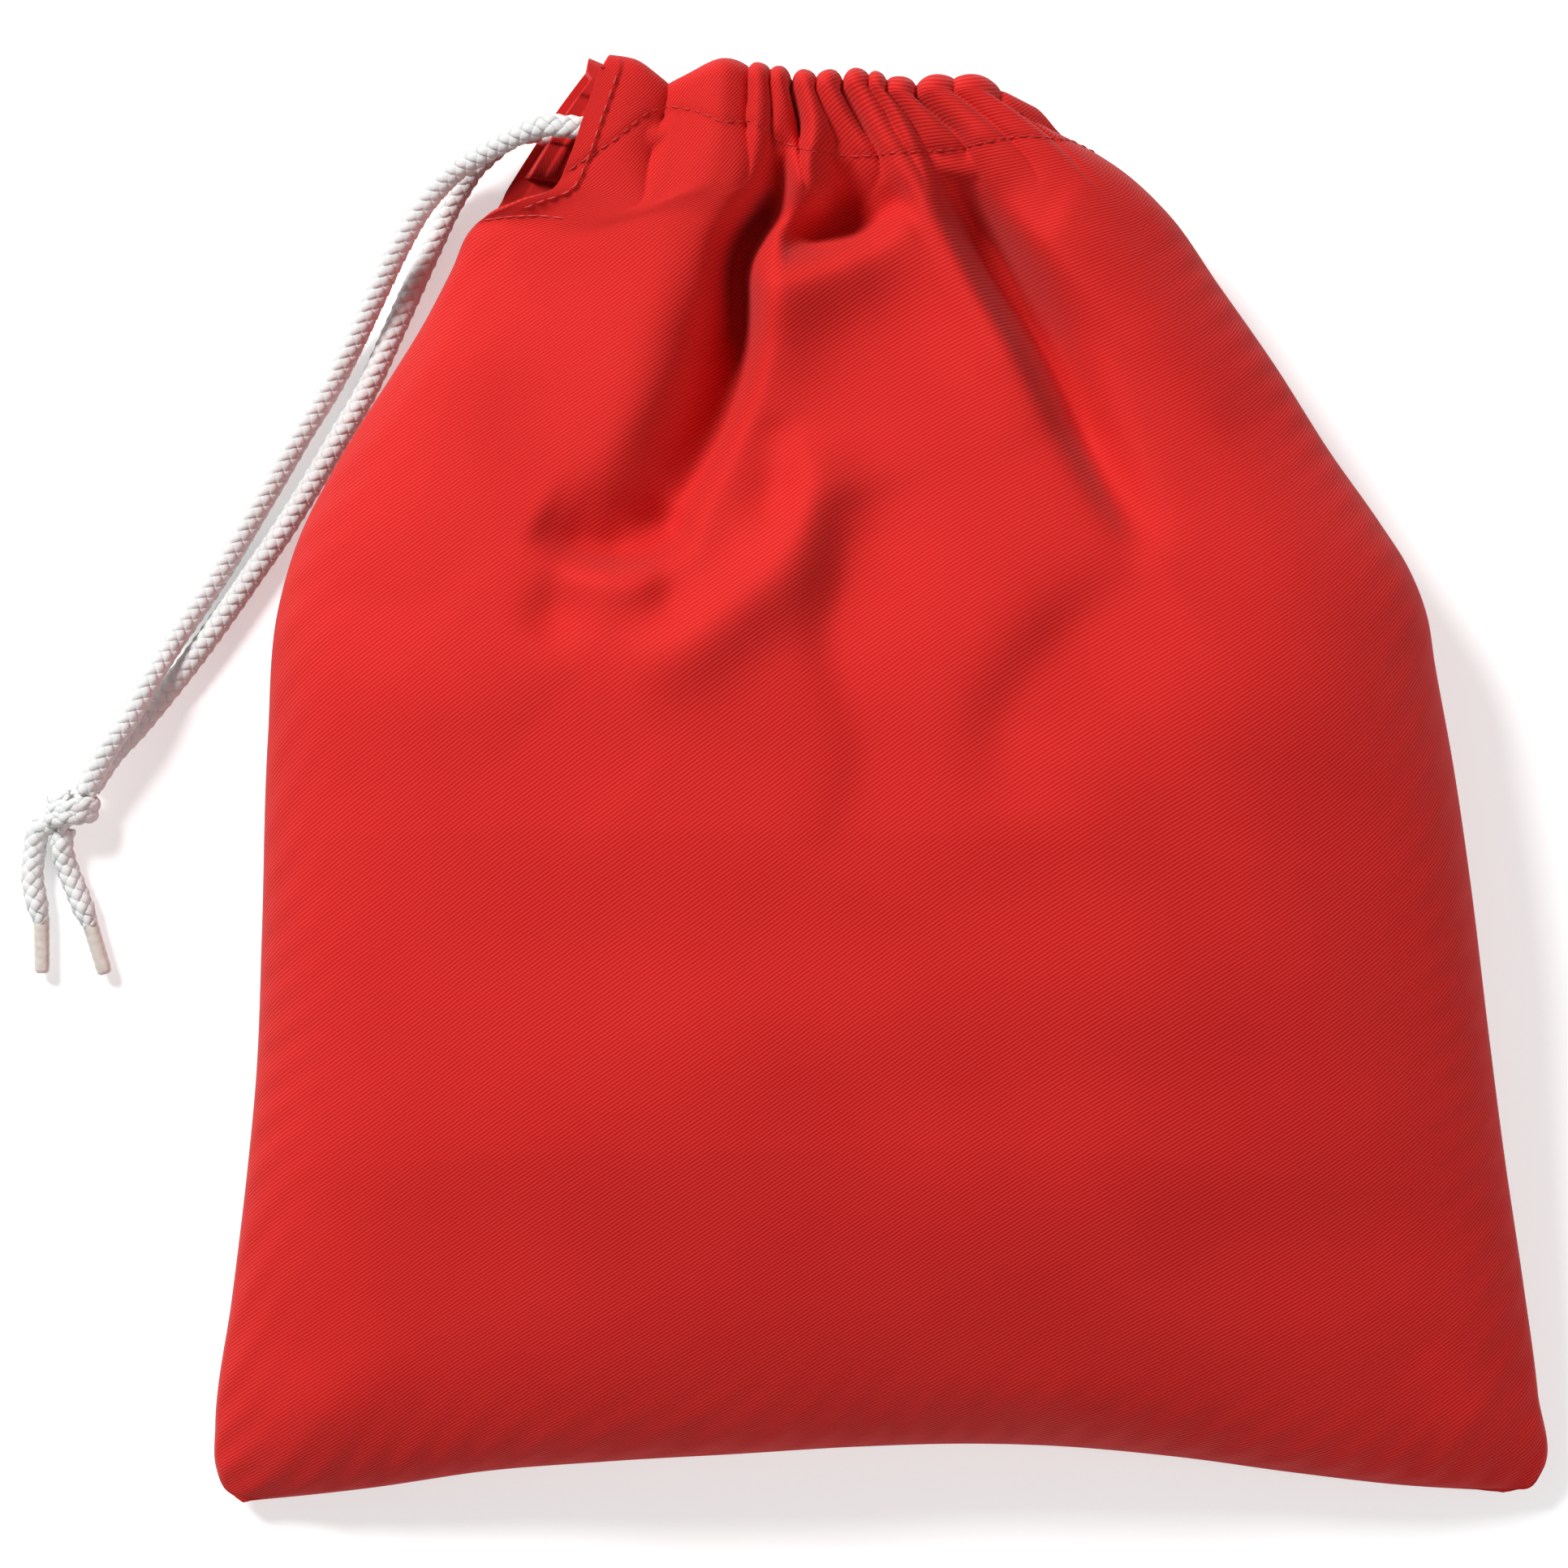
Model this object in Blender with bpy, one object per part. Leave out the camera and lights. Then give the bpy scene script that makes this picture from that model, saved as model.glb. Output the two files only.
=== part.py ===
"""Drawstring pouch of red twill, lying on its back with its mouth drawn nearly shut.

Metres, +Z up, +Y towards the mouth. The origin is under the middle of the bag, without its cord tails.
"""

import math

import bmesh
import bpy
from mathutils import Vector

for item in list(bpy.data.objects):
    bpy.data.objects.remove(item, do_unlink=True)

# Cloth
CLOTH = 0.0008  # thickness of one ply
SEW_GAP = 0.0003  # clearance between pieces that are sewn together
THREAD = 0.0004  # thread diameter
ALLOWANCE = 0.008  # width of a seam allowance

# Body of the bag
BOTTOM_WIDTH = 0.246  # across the lower corners
BAG_LENGTH = 0.265  # lower corners to the top of the casing
CORNER_CUT = 0.006  # how far a turned lower corner is rounded off
BOTTOM_RISE = 0.0100  # the filling draws up the middle of the bottom edge
LEFT_WAIST = 0.1140  # half width at mid height
RIGHT_WAIST = 0.1100
LEFT_SHOULDER = 0.1112  # half width where the gathers start to pull in
RIGHT_SHOULDER = 0.1008
LEFT_UPPER = 0.0985  # half width above the shoulder
RIGHT_UPPER = 0.0830
RIGHT_NECK = 0.0610  # half width just below the right end of the mouth
PUFF = 0.0400  # height of the front dome above the seam
SEAM_CORNER_Z = 0.0050  # height of the seam at the lower corners
SEAM_SIDE_Z = 0.0160  # height of the seam at mid side
BOTTOM_SEAM_LIFT = 0.0090  # the bottom seam rises this much towards its middle
NECK_START = 0.58  # share of the length where the front starts to fall towards the mouth
BACK_TURN_UP = 0.0318  # length over which the back turns up to the bottom seam
FOLD_DEPTH = 0.0145  # depth of the two folds that run down from the mouth
LOBE_HEIGHT = 0.0055  # height that the lobes beside the folds stand up
FOLD_SPREAD = 0.075  # width of each fold, as a share of half the bag's width

# Mouth: the casing runs across it twice, in front and behind, joined at the right
MOUTH_X = -0.0128  # middle of the mouth
MOUTH_TILT = math.radians(5.0)  # the right end lies lower
MOUTH_WIDTH = 0.0900  # front slit to the right end of the casing
MOUTH_RISE = 0.0210  # between the front and back cord runs
BACK_RUN_Z = 0.0070  # height of the back cord run
CASING_HALF_HEIGHT = 0.0105
CASING_HALF_DEPTH = 0.0040
HEM_WIDTH = 0.0072  # turned hem along a slit edge
HEM_PLY = 0.0014  # thickness of the hem
BACK_HEM_REACH = 0.0060  # the back slit hem reaches further left than the front one
TELESCOPE_GAP = 0.0004  # between the left casing and the gathered end that slides over it
PULL = 0.0260  # travel from the rest pose to the mouth drawn tight
END_CLEARANCE = 0.0022  # left between the casing and the turn when the mouth is tight

# Drawcord
CORD = 0.0045
EXIT_SPREAD = 0.0165  # slit to the point where the tails cross, along X
EXIT_DROP = 0.0050  # and along Y
EXIT_LEAD = 0.0050  # straight stretch of cord just outside a slit
FRONT_FALL = 0.0065  # the front tail has dropped this much where it crosses the back one
TIP = 0.0030  # cord tip diameter
TIP_LENGTH = 0.0094
KNOT_LENGTH = 0.0084
KNOT_RADIUS = 0.0047
KNOT_WAIST = 0.0006  # depth of the groove between the two turns of the knot

# Derived sizes
FRONT_RUN_Z = BACK_RUN_Z + MOUTH_RISE
SEAM_TOP_Z = BACK_RUN_Z + MOUTH_RISE / 2
SLEEVE_IN = TELESCOPE_GAP
SLEEVE_OUT = TELESCOPE_GAP + CLOTH
HEM_HALF_HEIGHT = CASING_HALF_HEIGHT + TELESCOPE_GAP
HEM_HALF_DEPTH = CASING_HALF_DEPTH + TELESCOPE_GAP
THREAD_LIFT = SEW_GAP + THREAD / 2
SLIT_S = -MOUTH_WIDTH / 2
CASING_START_S = SLIT_S + HEM_WIDTH + SEW_GAP
SLEEVE_START_S = CASING_START_S + PULL + 2 * SEW_GAP
TURN_S = MOUTH_WIDTH / 2 - MOUTH_RISE / 2 - CASING_HALF_DEPTH - SLEEVE_OUT
CASING_END_S = TURN_S - PULL - END_CLEARANCE
BACK_SLIT_S = SLIT_S - BACK_HEM_REACH
RING_HALF = HEM_HALF_HEIGHT + 2 * THREAD_LIFT - SEW_GAP
MOUTH_Y = (
    BAG_LENGTH / 2
    + math.sin(MOUTH_TILT) * (BACK_SLIT_S + HEM_WIDTH / 2)
    - math.cos(MOUTH_TILT) * RING_HALF
)
PANEL_TOP_T = -(CASING_HALF_HEIGHT + SLEEVE_OUT + TELESCOPE_GAP)
ALONG = Vector((math.cos(MOUTH_TILT), -math.sin(MOUTH_TILT), 0.0))
ACROSS = Vector((math.sin(MOUTH_TILT), math.cos(MOUTH_TILT), 0.0))
UP = Vector((0.0, 0.0, 1.0))


def material(name, colour, roughness):
    made = bpy.data.materials.new(name)
    made.use_nodes = True
    shader = made.node_tree.nodes["Principled BSDF"]
    shader.inputs["Base Color"].default_value = (*colour, 1.0)
    shader.inputs["Roughness"].default_value = roughness
    shader.inputs["Metallic"].default_value = 0.0
    return made


RED = (0.60, 0.024, 0.021)
THREAD_RED = (0.66, 0.045, 0.040)
WHITE = (0.83, 0.80, 0.78)
IVORY = (0.66, 0.56, 0.48)


def smooth(a, b, t):
    share = min(1.0, max(0.0, (t - a) / (b - a)))
    return share * share * (3.0 - 2.0 * share)


def through(knots, t):
    """Smooth value at t through (place, value) knots."""
    last = len(knots) - 1
    i = 0
    while i < last - 1 and t > knots[i + 1][0]:
        i += 1
    (a, va), (b, vb) = knots[i], knots[i + 1]
    before = knots[max(0, i - 1)]
    after = knots[min(last, i + 2)]
    span = b - a
    slope_a = (vb - before[1]) / (b - before[0]) * span
    slope_b = (after[1] - va) / (after[0] - a) * span
    u = (t - a) / span
    return (
        va * (1 + 2 * u) * (1 - u) ** 2
        + slope_a * u * (1 - u) ** 2
        + vb * u * u * (3 - 2 * u)
        + slope_b * u * u * (u - 1)
    )


def mouth(s, t, z):
    """Point at s along the mouth and t across it."""
    return Vector((MOUTH_X, MOUTH_Y, z)) + ALONG * s + ACROSS * t


# Plan of the panels: p runs -1 to 1 between the side seams, q runs 0 to 1 from the bottom seam to the casing
CORNER_Q = 0.035
TOP_LEFT_S = SLIT_S - 0.0165
TOP_RIGHT_S = MOUTH_WIDTH / 2 + 0.0045
LEFT_SEAM = (
    (0.0, -(BOTTOM_WIDTH / 2 - CORNER_CUT)),
    (0.012, -(BOTTOM_WIDTH / 2 - CORNER_CUT * 0.3)),
    (CORNER_Q, -BOTTOM_WIDTH / 2),
    (0.42, -LEFT_WAIST),
    (0.66, -LEFT_SHOULDER),
    (0.80, -LEFT_UPPER),
    (1.0, mouth(TOP_LEFT_S, PANEL_TOP_T, 0.0).x),
)
RIGHT_SEAM = (
    (0.0, BOTTOM_WIDTH / 2 - CORNER_CUT),
    (0.012, BOTTOM_WIDTH / 2 - CORNER_CUT * 0.3),
    (CORNER_Q, BOTTOM_WIDTH / 2),
    (0.42, RIGHT_WAIST),
    (0.66, RIGHT_SHOULDER),
    (0.80, RIGHT_UPPER),
    (0.92, RIGHT_NECK),
    (1.0, mouth(TOP_RIGHT_S, PANEL_TOP_T, 0.0).x),
)


def plan(p, q):
    left = through(LEFT_SEAM, q)
    right = through(RIGHT_SEAM, q)
    low = -BAG_LENGTH / 2 + BOTTOM_RISE * (1.0 - abs(p) ** 2.2)
    share = (p + 1.0) / 2.0
    high = mouth(TOP_LEFT_S + (TOP_RIGHT_S - TOP_LEFT_S) * share, PANEL_TOP_T, 0.0).y
    return left + (right - left) * share, low + (high - low) * q


def seam_height(p, q):
    """Height of the seam plane between the two panels."""
    side = through(((0.0, SEAM_CORNER_Z), (0.5, SEAM_SIDE_Z), (1.0, SEAM_TOP_Z)), q)
    return side + BOTTOM_SEAM_LIFT * (1.0 - p * p) * (1.0 - q) ** 3


def bulge(p, q):
    """Share of the puff at a place: upright at the seams, flat in the middle."""
    return math.sqrt(max(0.0, 1.0 - abs(p) ** (2.0 + 3.0 * q * q)))


def rise(q, reach):
    left = max(0.0, 1.0 - q / reach)
    return math.sqrt(1.0 - left * left)


def folds(p, q):
    """Depth of the two valleys that spread down from the mouth, below the lobes that stand beside them."""
    depth = FOLD_DEPTH * smooth(0.52, 0.86, q) * (1.0 - 0.75 * smooth(0.88, 1.0, q))
    lobes = LOBE_HEIGHT * smooth(0.66, 0.86, q) * (1.0 - smooth(0.88, 0.96, q))
    down = (1.0 - q) / 0.38
    left = math.exp(-(((p + 0.10 + 0.38 * down) / FOLD_SPREAD) ** 2))
    right = math.exp(-(((p - 0.44 - 0.20 * down) / FOLD_SPREAD) ** 2))
    return depth * (left + right) - lobes


def front_outer(p, q):
    x, y = plan(p, q)
    top = FRONT_RUN_Z + CLOTH / 2 - SEAM_TOP_Z
    height = PUFF * rise(q, 0.45) + (top - PUFF) * smooth(NECK_START, 1.0, q)
    lifted = max(0.0, height * bulge(p, q) - folds(p, q) * bulge(p, q))
    return Vector((x, y, seam_height(p, q) + SEW_GAP / 2 + lifted))


def back_outer(p, q):
    x, y = plan(p, q)
    seam = seam_height(p, q) - SEW_GAP / 2
    reach = min(1.0, 1.25 * rise(q, BACK_TURN_UP / BAG_LENGTH) * bulge(p, q))
    lift = (BACK_RUN_Z - CLOTH / 2) * smooth(0.86, 1.0, q)
    return Vector((x, y, seam * (1.0 - reach) + lift * reach))


def inset(point, p, q):
    return Vector((point.x - CLOTH * p, point.y + CLOTH * max(0.0, 1.0 - q / 0.05), point.z))


def front_inner(p, q):
    point = inset(front_outer(p, q), p, q)
    point.z = max(seam_height(p, q) + SEW_GAP / 2, point.z - CLOTH)
    return point


def back_inner(p, q):
    point = inset(back_outer(p, q), p, q)
    point.z = min(seam_height(p, q) - SEW_GAP / 2, point.z + CLOTH)
    return point


def add_mesh(name, points, faces, look):
    mesh = bpy.data.meshes.new(name)
    mesh.from_pydata([tuple(point) for point in points], [], faces)
    shape = bmesh.new()
    shape.from_mesh(mesh)
    bmesh.ops.recalc_face_normals(shape, faces=shape.faces)
    if shape.calc_volume(signed=True) < 0:
        bmesh.ops.reverse_faces(shape, faces=shape.faces)
    shape.to_mesh(mesh)
    shape.free()
    mesh.materials.append(look)
    made = bpy.data.objects.new(name, mesh)
    bpy.context.scene.collection.objects.link(made)
    return made


def add_panel(name, outer, inner, across, along, look):
    """Closed cloth shell between an outer and an inner surface."""
    places_p = [math.sin(math.pi / 2 * (2 * i / across - 1)) for i in range(across + 1)]
    places_q = [(j / along) ** 1.35 for j in range(along + 1)]
    width = across + 1
    layer = width * (along + 1)
    points = [outer(p, q) for q in places_q for p in places_p]
    points += [inner(p, q) for q in places_q for p in places_p]
    faces = []
    for j in range(along):
        for i in range(across):
            a = j * width + i
            quad = (a, a + 1, a + 1 + width, a + width)
            faces.append(quad)
            faces.append(tuple(layer + k for k in reversed(quad)))
    edge = [i for i in range(width)]
    edge += [j * width + across for j in range(1, along + 1)]
    edge += [along * width + i for i in range(across - 1, -1, -1)]
    edge += [j * width for j in range(along - 1, 0, -1)]
    for k, a in enumerate(edge):
        b = edge[(k + 1) % len(edge)]
        faces.append((a, b, layer + b, layer + a))
    return add_mesh(name, points, faces, look)


def add_tunnel(name, frames, outer, inner, look, sides=20):
    """Oval tunnel with open ends. Each frame is (centre, depth direction); height runs across the mouth."""
    points = []
    for half_height, half_depth in (outer, inner):
        for centre, depth in frames:
            for k in range(sides):
                turn = 2 * math.pi * k / sides
                points.append(
                    centre + ACROSS * (half_height * math.cos(turn)) + depth * (half_depth * math.sin(turn))
                )
    layer = len(frames) * sides
    faces = []
    for j in range(len(frames) - 1):
        for k in range(sides):
            a = j * sides + k
            b = j * sides + (k + 1) % sides
            faces.append((a, b, b + sides, a + sides))
            faces.append((layer + a, layer + a + sides, layer + b + sides, layer + b))
    for j in (0, len(frames) - 1):
        for k in range(sides):
            a = j * sides + k
            b = j * sides + (k + 1) % sides
            faces.append((a, layer + a, layer + b, b))
    return add_mesh(name, points, faces, look)


def add_cord(name, route, diameter, look, rounding=2, closed=False, ball=False):
    """Round cord along a route, with a ball-shaped start where it swings."""
    data = bpy.data.curves.new(name, "CURVE")
    data.dimensions = "3D"
    data.bevel_depth = diameter / 2
    data.bevel_resolution = rounding
    data.use_fill_caps = True
    places = [(point, 1.0) for point in route]
    if ball:
        back = (route[0] - route[1]).normalized() * (diameter / 2)
        start = []
        for turn in (80, 60, 40, 20):
            angle = math.radians(turn)
            start.append((route[0] + back * math.sin(angle), math.cos(angle)))
        places = start + places
    line = data.splines.new("POLY")
    line.points.add(len(places) - 1)
    for point, (place, radius) in zip(line.points, places):
        point.co = (*place, 1.0)
        point.radius = radius
    line.use_cyclic_u = closed
    data.materials.append(look)
    made = bpy.data.objects.new(name, data)
    bpy.context.scene.collection.objects.link(made)
    return made


def flow(route, steps):
    """Smooth curve through route points, cut into equal steps of its parameter."""
    count = len(route) - 1
    found = []
    for k in range(steps + 1):
        t = count * k / steps
        found.append(
            Vector([through([(i, point[axis]) for i, point in enumerate(route)], t) for axis in range(3)])
        )
    return found


red_front = material("twill_front", RED, 0.85)
red_back = material("twill_back", RED, 0.85)
red_casing = material("twill_casing", RED, 0.85)
red_hem = material("twill_hem", RED, 0.85)
red_allowance = material("twill_allowance", RED, 0.85)
thread = material("thread", THREAD_RED, 0.6)
white = material("cord", WHITE, 0.8)
ivory = material("tip_plastic", IVORY, 0.3)

# Panels
add_panel("front_panel", front_outer, front_inner, 54, 30, red_front)
add_panel("back_panel", back_outer, back_inner, 24, 22, red_back)

# Casing: two straight tunnels at the left and one gathered U-shaped tunnel that slides over them
static_outer = (CASING_HALF_HEIGHT, CASING_HALF_DEPTH)
static_inner = (CASING_HALF_HEIGHT - CLOTH, CASING_HALF_DEPTH - CLOTH)
sleeve_inner = (CASING_HALF_HEIGHT + SLEEVE_IN, CASING_HALF_DEPTH + SLEEVE_IN)
sleeve_outer = (CASING_HALF_HEIGHT + SLEEVE_OUT, CASING_HALF_DEPTH + SLEEVE_OUT)
hem_outer = (HEM_HALF_HEIGHT, HEM_HALF_DEPTH)
hem_inner = (HEM_HALF_HEIGHT - HEM_PLY, HEM_HALF_DEPTH - HEM_PLY)


def straight(start, end, z, steps=2):
    return [(mouth(start + (end - start) * k / steps, 0.0, z), UP) for k in range(steps + 1)]


def turn_frames(start):
    """Frames along the front run, round the right end and back along the back run."""
    frames = straight(start, TURN_S, FRONT_RUN_Z, 3)
    for k in range(1, 12):
        angle = math.pi * (0.5 - k / 12)
        out = ALONG * math.cos(angle) + UP * math.sin(angle)
        frames.append((mouth(TURN_S, 0.0, SEAM_TOP_Z) + out * (MOUTH_RISE / 2), out))
    ending = straight(TURN_S, start, BACK_RUN_Z, 3)
    return frames + [(centre, -UP) for centre, _ in ending]


front_run = straight(CASING_START_S, CASING_END_S, FRONT_RUN_Z)
add_tunnel("front_casing", front_run, static_outer, static_inner, red_casing)
back_start_s = BACK_SLIT_S + HEM_WIDTH + SEW_GAP
back_run = straight(back_start_s, CASING_END_S, BACK_RUN_Z)
add_tunnel("back_casing", back_run, static_outer, static_inner, red_casing)
add_tunnel("casing_gathered_end", turn_frames(SLEEVE_START_S), sleeve_outer, sleeve_inner, red_casing)
add_tunnel("front_slit_hem", straight(SLIT_S, SLIT_S + HEM_WIDTH, FRONT_RUN_Z), hem_outer, hem_inner, red_hem)
add_tunnel(
    "back_slit_hem", straight(BACK_SLIT_S, BACK_SLIT_S + HEM_WIDTH, BACK_RUN_Z), hem_outer, hem_inner, red_hem
)

# Seam allowances inside the bag
EDGE = CLOTH + 4 * SEW_GAP
STRIP_HALF = 0.65 * CLOTH


def side_seam(side, q, inward, lift):
    x, y = plan(side, q)
    return Vector((x - side * inward, y, seam_height(side, q) + lift))


def bottom_seam(p, inward, lift):
    x, y = plan(p, 0.0)
    return Vector((x, y + inward, seam_height(p, 0.0) + lift))


def add_strip(name, place, count, look):
    """Flat doubled strip; place(k, inward, lift) gives its corners along the seam."""
    points = []
    for k in range(count):
        points.append(place(k, EDGE, -STRIP_HALF))
        points.append(place(k, EDGE + ALLOWANCE, -STRIP_HALF))
        points.append(place(k, EDGE + ALLOWANCE, STRIP_HALF))
        points.append(place(k, EDGE, STRIP_HALF))
    faces = [(0, 1, 2, 3)]
    for k in range(count - 1):
        for side in range(4):
            a = 4 * k + side
            b = 4 * k + (side + 1) % 4
            faces.append((a, b, b + 4, a + 4))
    last = 4 * (count - 1)
    faces.append((last + 3, last + 2, last + 1, last))
    return add_mesh(name, points, faces, look)


SIDE_STEPS = 26
SEAM_LINE = EDGE + ALLOWANCE * 0.35


def side_q(k):
    return 0.16 + 0.76 * k / (SIDE_STEPS - 1)


def bottom_p(k):
    return -0.70 + 1.40 * k / (SIDE_STEPS - 1)


STITCH_LIFT = STRIP_HALF + THREAD_LIFT
for name, side in (("left", -1.0), ("right", 1.0)):
    add_strip(
        name + "_seam_allowance",
        lambda k, inward, lift, side=side: side_seam(side, side_q(k), inward, lift),
        SIDE_STEPS,
        red_allowance,
    )
    line = [side_seam(side, side_q(k), SEAM_LINE, STITCH_LIFT) for k in range(SIDE_STEPS)]
    add_cord(name + "_seam_stitching", line, THREAD, thread, 1)
add_strip(
    "bottom_seam_allowance",
    lambda k, inward, lift: bottom_seam(bottom_p(k), inward, lift),
    SIDE_STEPS,
    red_allowance,
)
line = [bottom_seam(bottom_p(k), SEAM_LINE, STITCH_LIFT) for k in range(SIDE_STEPS)]
add_cord("bottom_seam_stitching", line, THREAD, thread, 1)

# Stitching that shows
STITCH_Q = 0.985
stitch_p = [-0.86 + 1.72 * k / 30 for k in range(31)]
line = [front_outer(p, STITCH_Q) + UP * (THREAD_LIFT + SEW_GAP / 2) for p in stitch_p]
add_cord("front_casing_stitching", line, THREAD, thread, 1)
line = [back_outer(p, STITCH_Q) - UP * (THREAD_LIFT + SEW_GAP / 2) for p in stitch_p]
add_cord("back_casing_stitching", line, THREAD, thread, 1)


def hem_ring(s, z):
    ring = []
    for k in range(20):
        turn = 2 * math.pi * k / 20
        height = (HEM_HALF_HEIGHT + THREAD_LIFT) * math.cos(turn)
        depth = (HEM_HALF_DEPTH + THREAD_LIFT) * math.sin(turn)
        ring.append(mouth(s, height, z + depth))
    return ring


front_ring = hem_ring(SLIT_S + HEM_WIDTH / 2, FRONT_RUN_Z)
back_ring = hem_ring(BACK_SLIT_S + HEM_WIDTH / 2, BACK_RUN_Z)
add_cord("front_slit_stitching", front_ring, THREAD, thread, 1, closed=True)
add_cord("back_slit_stitching", back_ring, THREAD, thread, 1, closed=True)

# Bar tack across the seam at the foot of the slit
TACK_LENGTH = 0.0050
TACK = 0.0010
tack_x, tack_y = plan(-1.0, 0.975)
tack_z = seam_height(-1.0, 0.975)
tack_at = Vector((tack_x - TACK / 2 - SEW_GAP, tack_y, tack_z))
tack_line = [tack_at + UP * (TACK_LENGTH * (k / 2 - 0.5)) for k in range(3)]
add_cord("slit_bar_tack", tack_line, TACK, thread, 2)

# Drawcord inside the casing: front run, turn at the right end, back run
SWING_GAP = CORD / 2 + SEW_GAP
slit_front = mouth(SLIT_S, 0.0, FRONT_RUN_Z)
slit_back = mouth(BACK_SLIT_S, 0.0, BACK_RUN_Z)
CROSS = Vector((slit_front.x - EXIT_SPREAD, slit_front.y - EXIT_DROP, 0.0))
front_cross = CROSS + UP * (FRONT_RUN_Z - FRONT_FALL)
back_cross = CROSS + UP * BACK_RUN_Z


def approach(slit, cross):
    """Short free stretch from a slit to the crossing of the tails."""
    lead = slit - ALONG * EXIT_LEAD
    heading = (cross - lead).normalized()
    ending = cross - heading * SWING_GAP
    return [ending, ending.lerp(lead, 0.5), lead, slit]


loop = approach(slit_front, front_cross)
loop += [centre for centre, _ in straight(SLIT_S + 0.012, TURN_S, FRONT_RUN_Z, 5)]
for k in range(1, 10):
    angle = math.pi * (0.5 - k / 10)
    out = ALONG * math.cos(angle) + UP * math.sin(angle)
    loop.append(mouth(TURN_S, 0.0, SEAM_TOP_Z) + out * (MOUTH_RISE / 2))
loop += [centre for centre, _ in straight(TURN_S, BACK_SLIT_S + 0.012, BACK_RUN_Z, 5)]
loop += list(reversed(approach(slit_back, back_cross)))
add_cord("drawcord_loop", loop, CORD, white, 3)

# Free tails, laid down the left of the bag to the knot
REST_Z = CORD / 2 + 0.0003
PILED_Z = REST_Z + CORD + SEW_GAP
KNOT_TOP = Vector((-0.1463, 0.0003, 0.0))
front_route = [front_cross]
for x, share, z in (
    (-0.0789, 0.4257, 0.0183),
    (-0.0843, 0.4045, 0.0146),
    (-0.0889, 0.3766, 0.0106),
    (-0.0934, 0.3434, 0.0068),
    (-0.0978, 0.3094, 0.0042),
    (-0.1021, 0.2792, REST_Z),
    (-0.1073, 0.2475, REST_Z),
    (-0.1124, 0.2143, REST_Z),
    (-0.1169, 0.1857, REST_Z),
    (-0.1214, 0.1570, REST_Z),
    (-0.1262, 0.1291, 0.0030),
    (-0.1308, 0.1030, 0.0044),
    (-0.1350, 0.0766, 0.0067),
    (-0.1390, 0.0491, PILED_Z),
    (-0.1430, 0.0272, PILED_Z),
):
    front_route.append(Vector((x, share * BAG_LENGTH, z)))
back_route = [back_cross]
for x, share, z in (
    (-0.0766, 0.4257, 0.0052),
    (-0.0799, 0.4053, 0.0034),
    (-0.0834, 0.3774, REST_Z),
    (-0.0869, 0.3479, REST_Z),
    (-0.0917, 0.3072, REST_Z),
    (-0.0956, 0.2755, REST_Z),
    (-0.1008, 0.2423, REST_Z),
    (-0.1060, 0.2091, REST_Z),
    (-0.1112, 0.1777, REST_Z),
    (-0.1164, 0.1494, REST_Z),
    (-0.1211, 0.1238, REST_Z),
    (-0.1266, 0.0951, REST_Z),
    (-0.1322, 0.0679, REST_Z),
    (-0.1378, 0.0423, REST_Z),
    (-0.1424, 0.0234, REST_Z),
):
    back_route.append(Vector((x, share * BAG_LENGTH, z)))
front_route.append(KNOT_TOP + UP * PILED_Z)
back_route.append(KNOT_TOP + UP * REST_Z)
add_cord("tail_front", flow(front_route, 48), CORD, white, 3, ball=True)
add_cord("tail_back", flow(back_route, 48), CORD, white, 3, ball=True)

# Knot: two turns round both tails
KNOT_HEADING = Vector((-0.62, -0.7846, 0.0)).normalized()
KNOT_SIDE = Vector((-KNOT_HEADING.y, KNOT_HEADING.x, 0.0))
KNOT_START = KNOT_TOP + KNOT_HEADING * (4.5 * SEW_GAP) + UP * (KNOT_RADIUS + 0.0003)
points = []
faces = []
RINGS = 12
SIDES = 16
for j in range(RINGS + 1):
    t = j / RINGS
    end = math.sqrt(max(0.0, 1.0 - abs(2.0 * t - 1.0) ** 4))
    radius = KNOT_RADIUS * (0.74 + 0.26 * end) - KNOT_WAIST * math.cos(2.0 * math.pi * (t - 0.5)) ** 4 * end
    for k in range(SIDES):
        turn = 2 * math.pi * k / SIDES
        out = KNOT_SIDE * math.cos(turn) + UP * math.sin(turn)
        points.append(KNOT_START + KNOT_HEADING * (KNOT_LENGTH * t) + out * radius)
for j in range(RINGS):
    for k in range(SIDES):
        a = j * SIDES + k
        b = j * SIDES + (k + 1) % SIDES
        faces.append((a, b, b + SIDES, a + SIDES))
faces.append(tuple(range(SIDES)))
faces.append(tuple(RINGS * SIDES + k for k in reversed(range(SIDES))))
add_mesh("knot", points, faces, white)

# Two short ends below the knot, each in a plastic tip
KNOT_END = KNOT_START + KNOT_HEADING * KNOT_LENGTH
KNOT_END.z = 0.0
END_SIDE = CORD / 2 + 1.5 * SEW_GAP
left_pivot = KNOT_END + KNOT_HEADING * SWING_GAP - KNOT_SIDE * END_SIDE + UP * (REST_Z + 0.0008)
right_pivot = KNOT_END + KNOT_HEADING * SWING_GAP + KNOT_SIDE * END_SIDE + UP * (REST_Z + 0.0008)
left_route = [left_pivot]
for x, y in ((-0.0009, -0.0043), (-0.0013, -0.0084), (-0.0009, -0.0118), (0.0004, -0.0175)):
    left_route.append(Vector((left_pivot.x + x, left_pivot.y + y, REST_Z)))
right_route = [right_pivot]
for x, y in ((0.0008, -0.0036), (0.0024, -0.0076), (0.0038, -0.0111), (0.0053, -0.0147)):
    right_route.append(Vector((right_pivot.x + x, right_pivot.y + y, REST_Z)))
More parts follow.
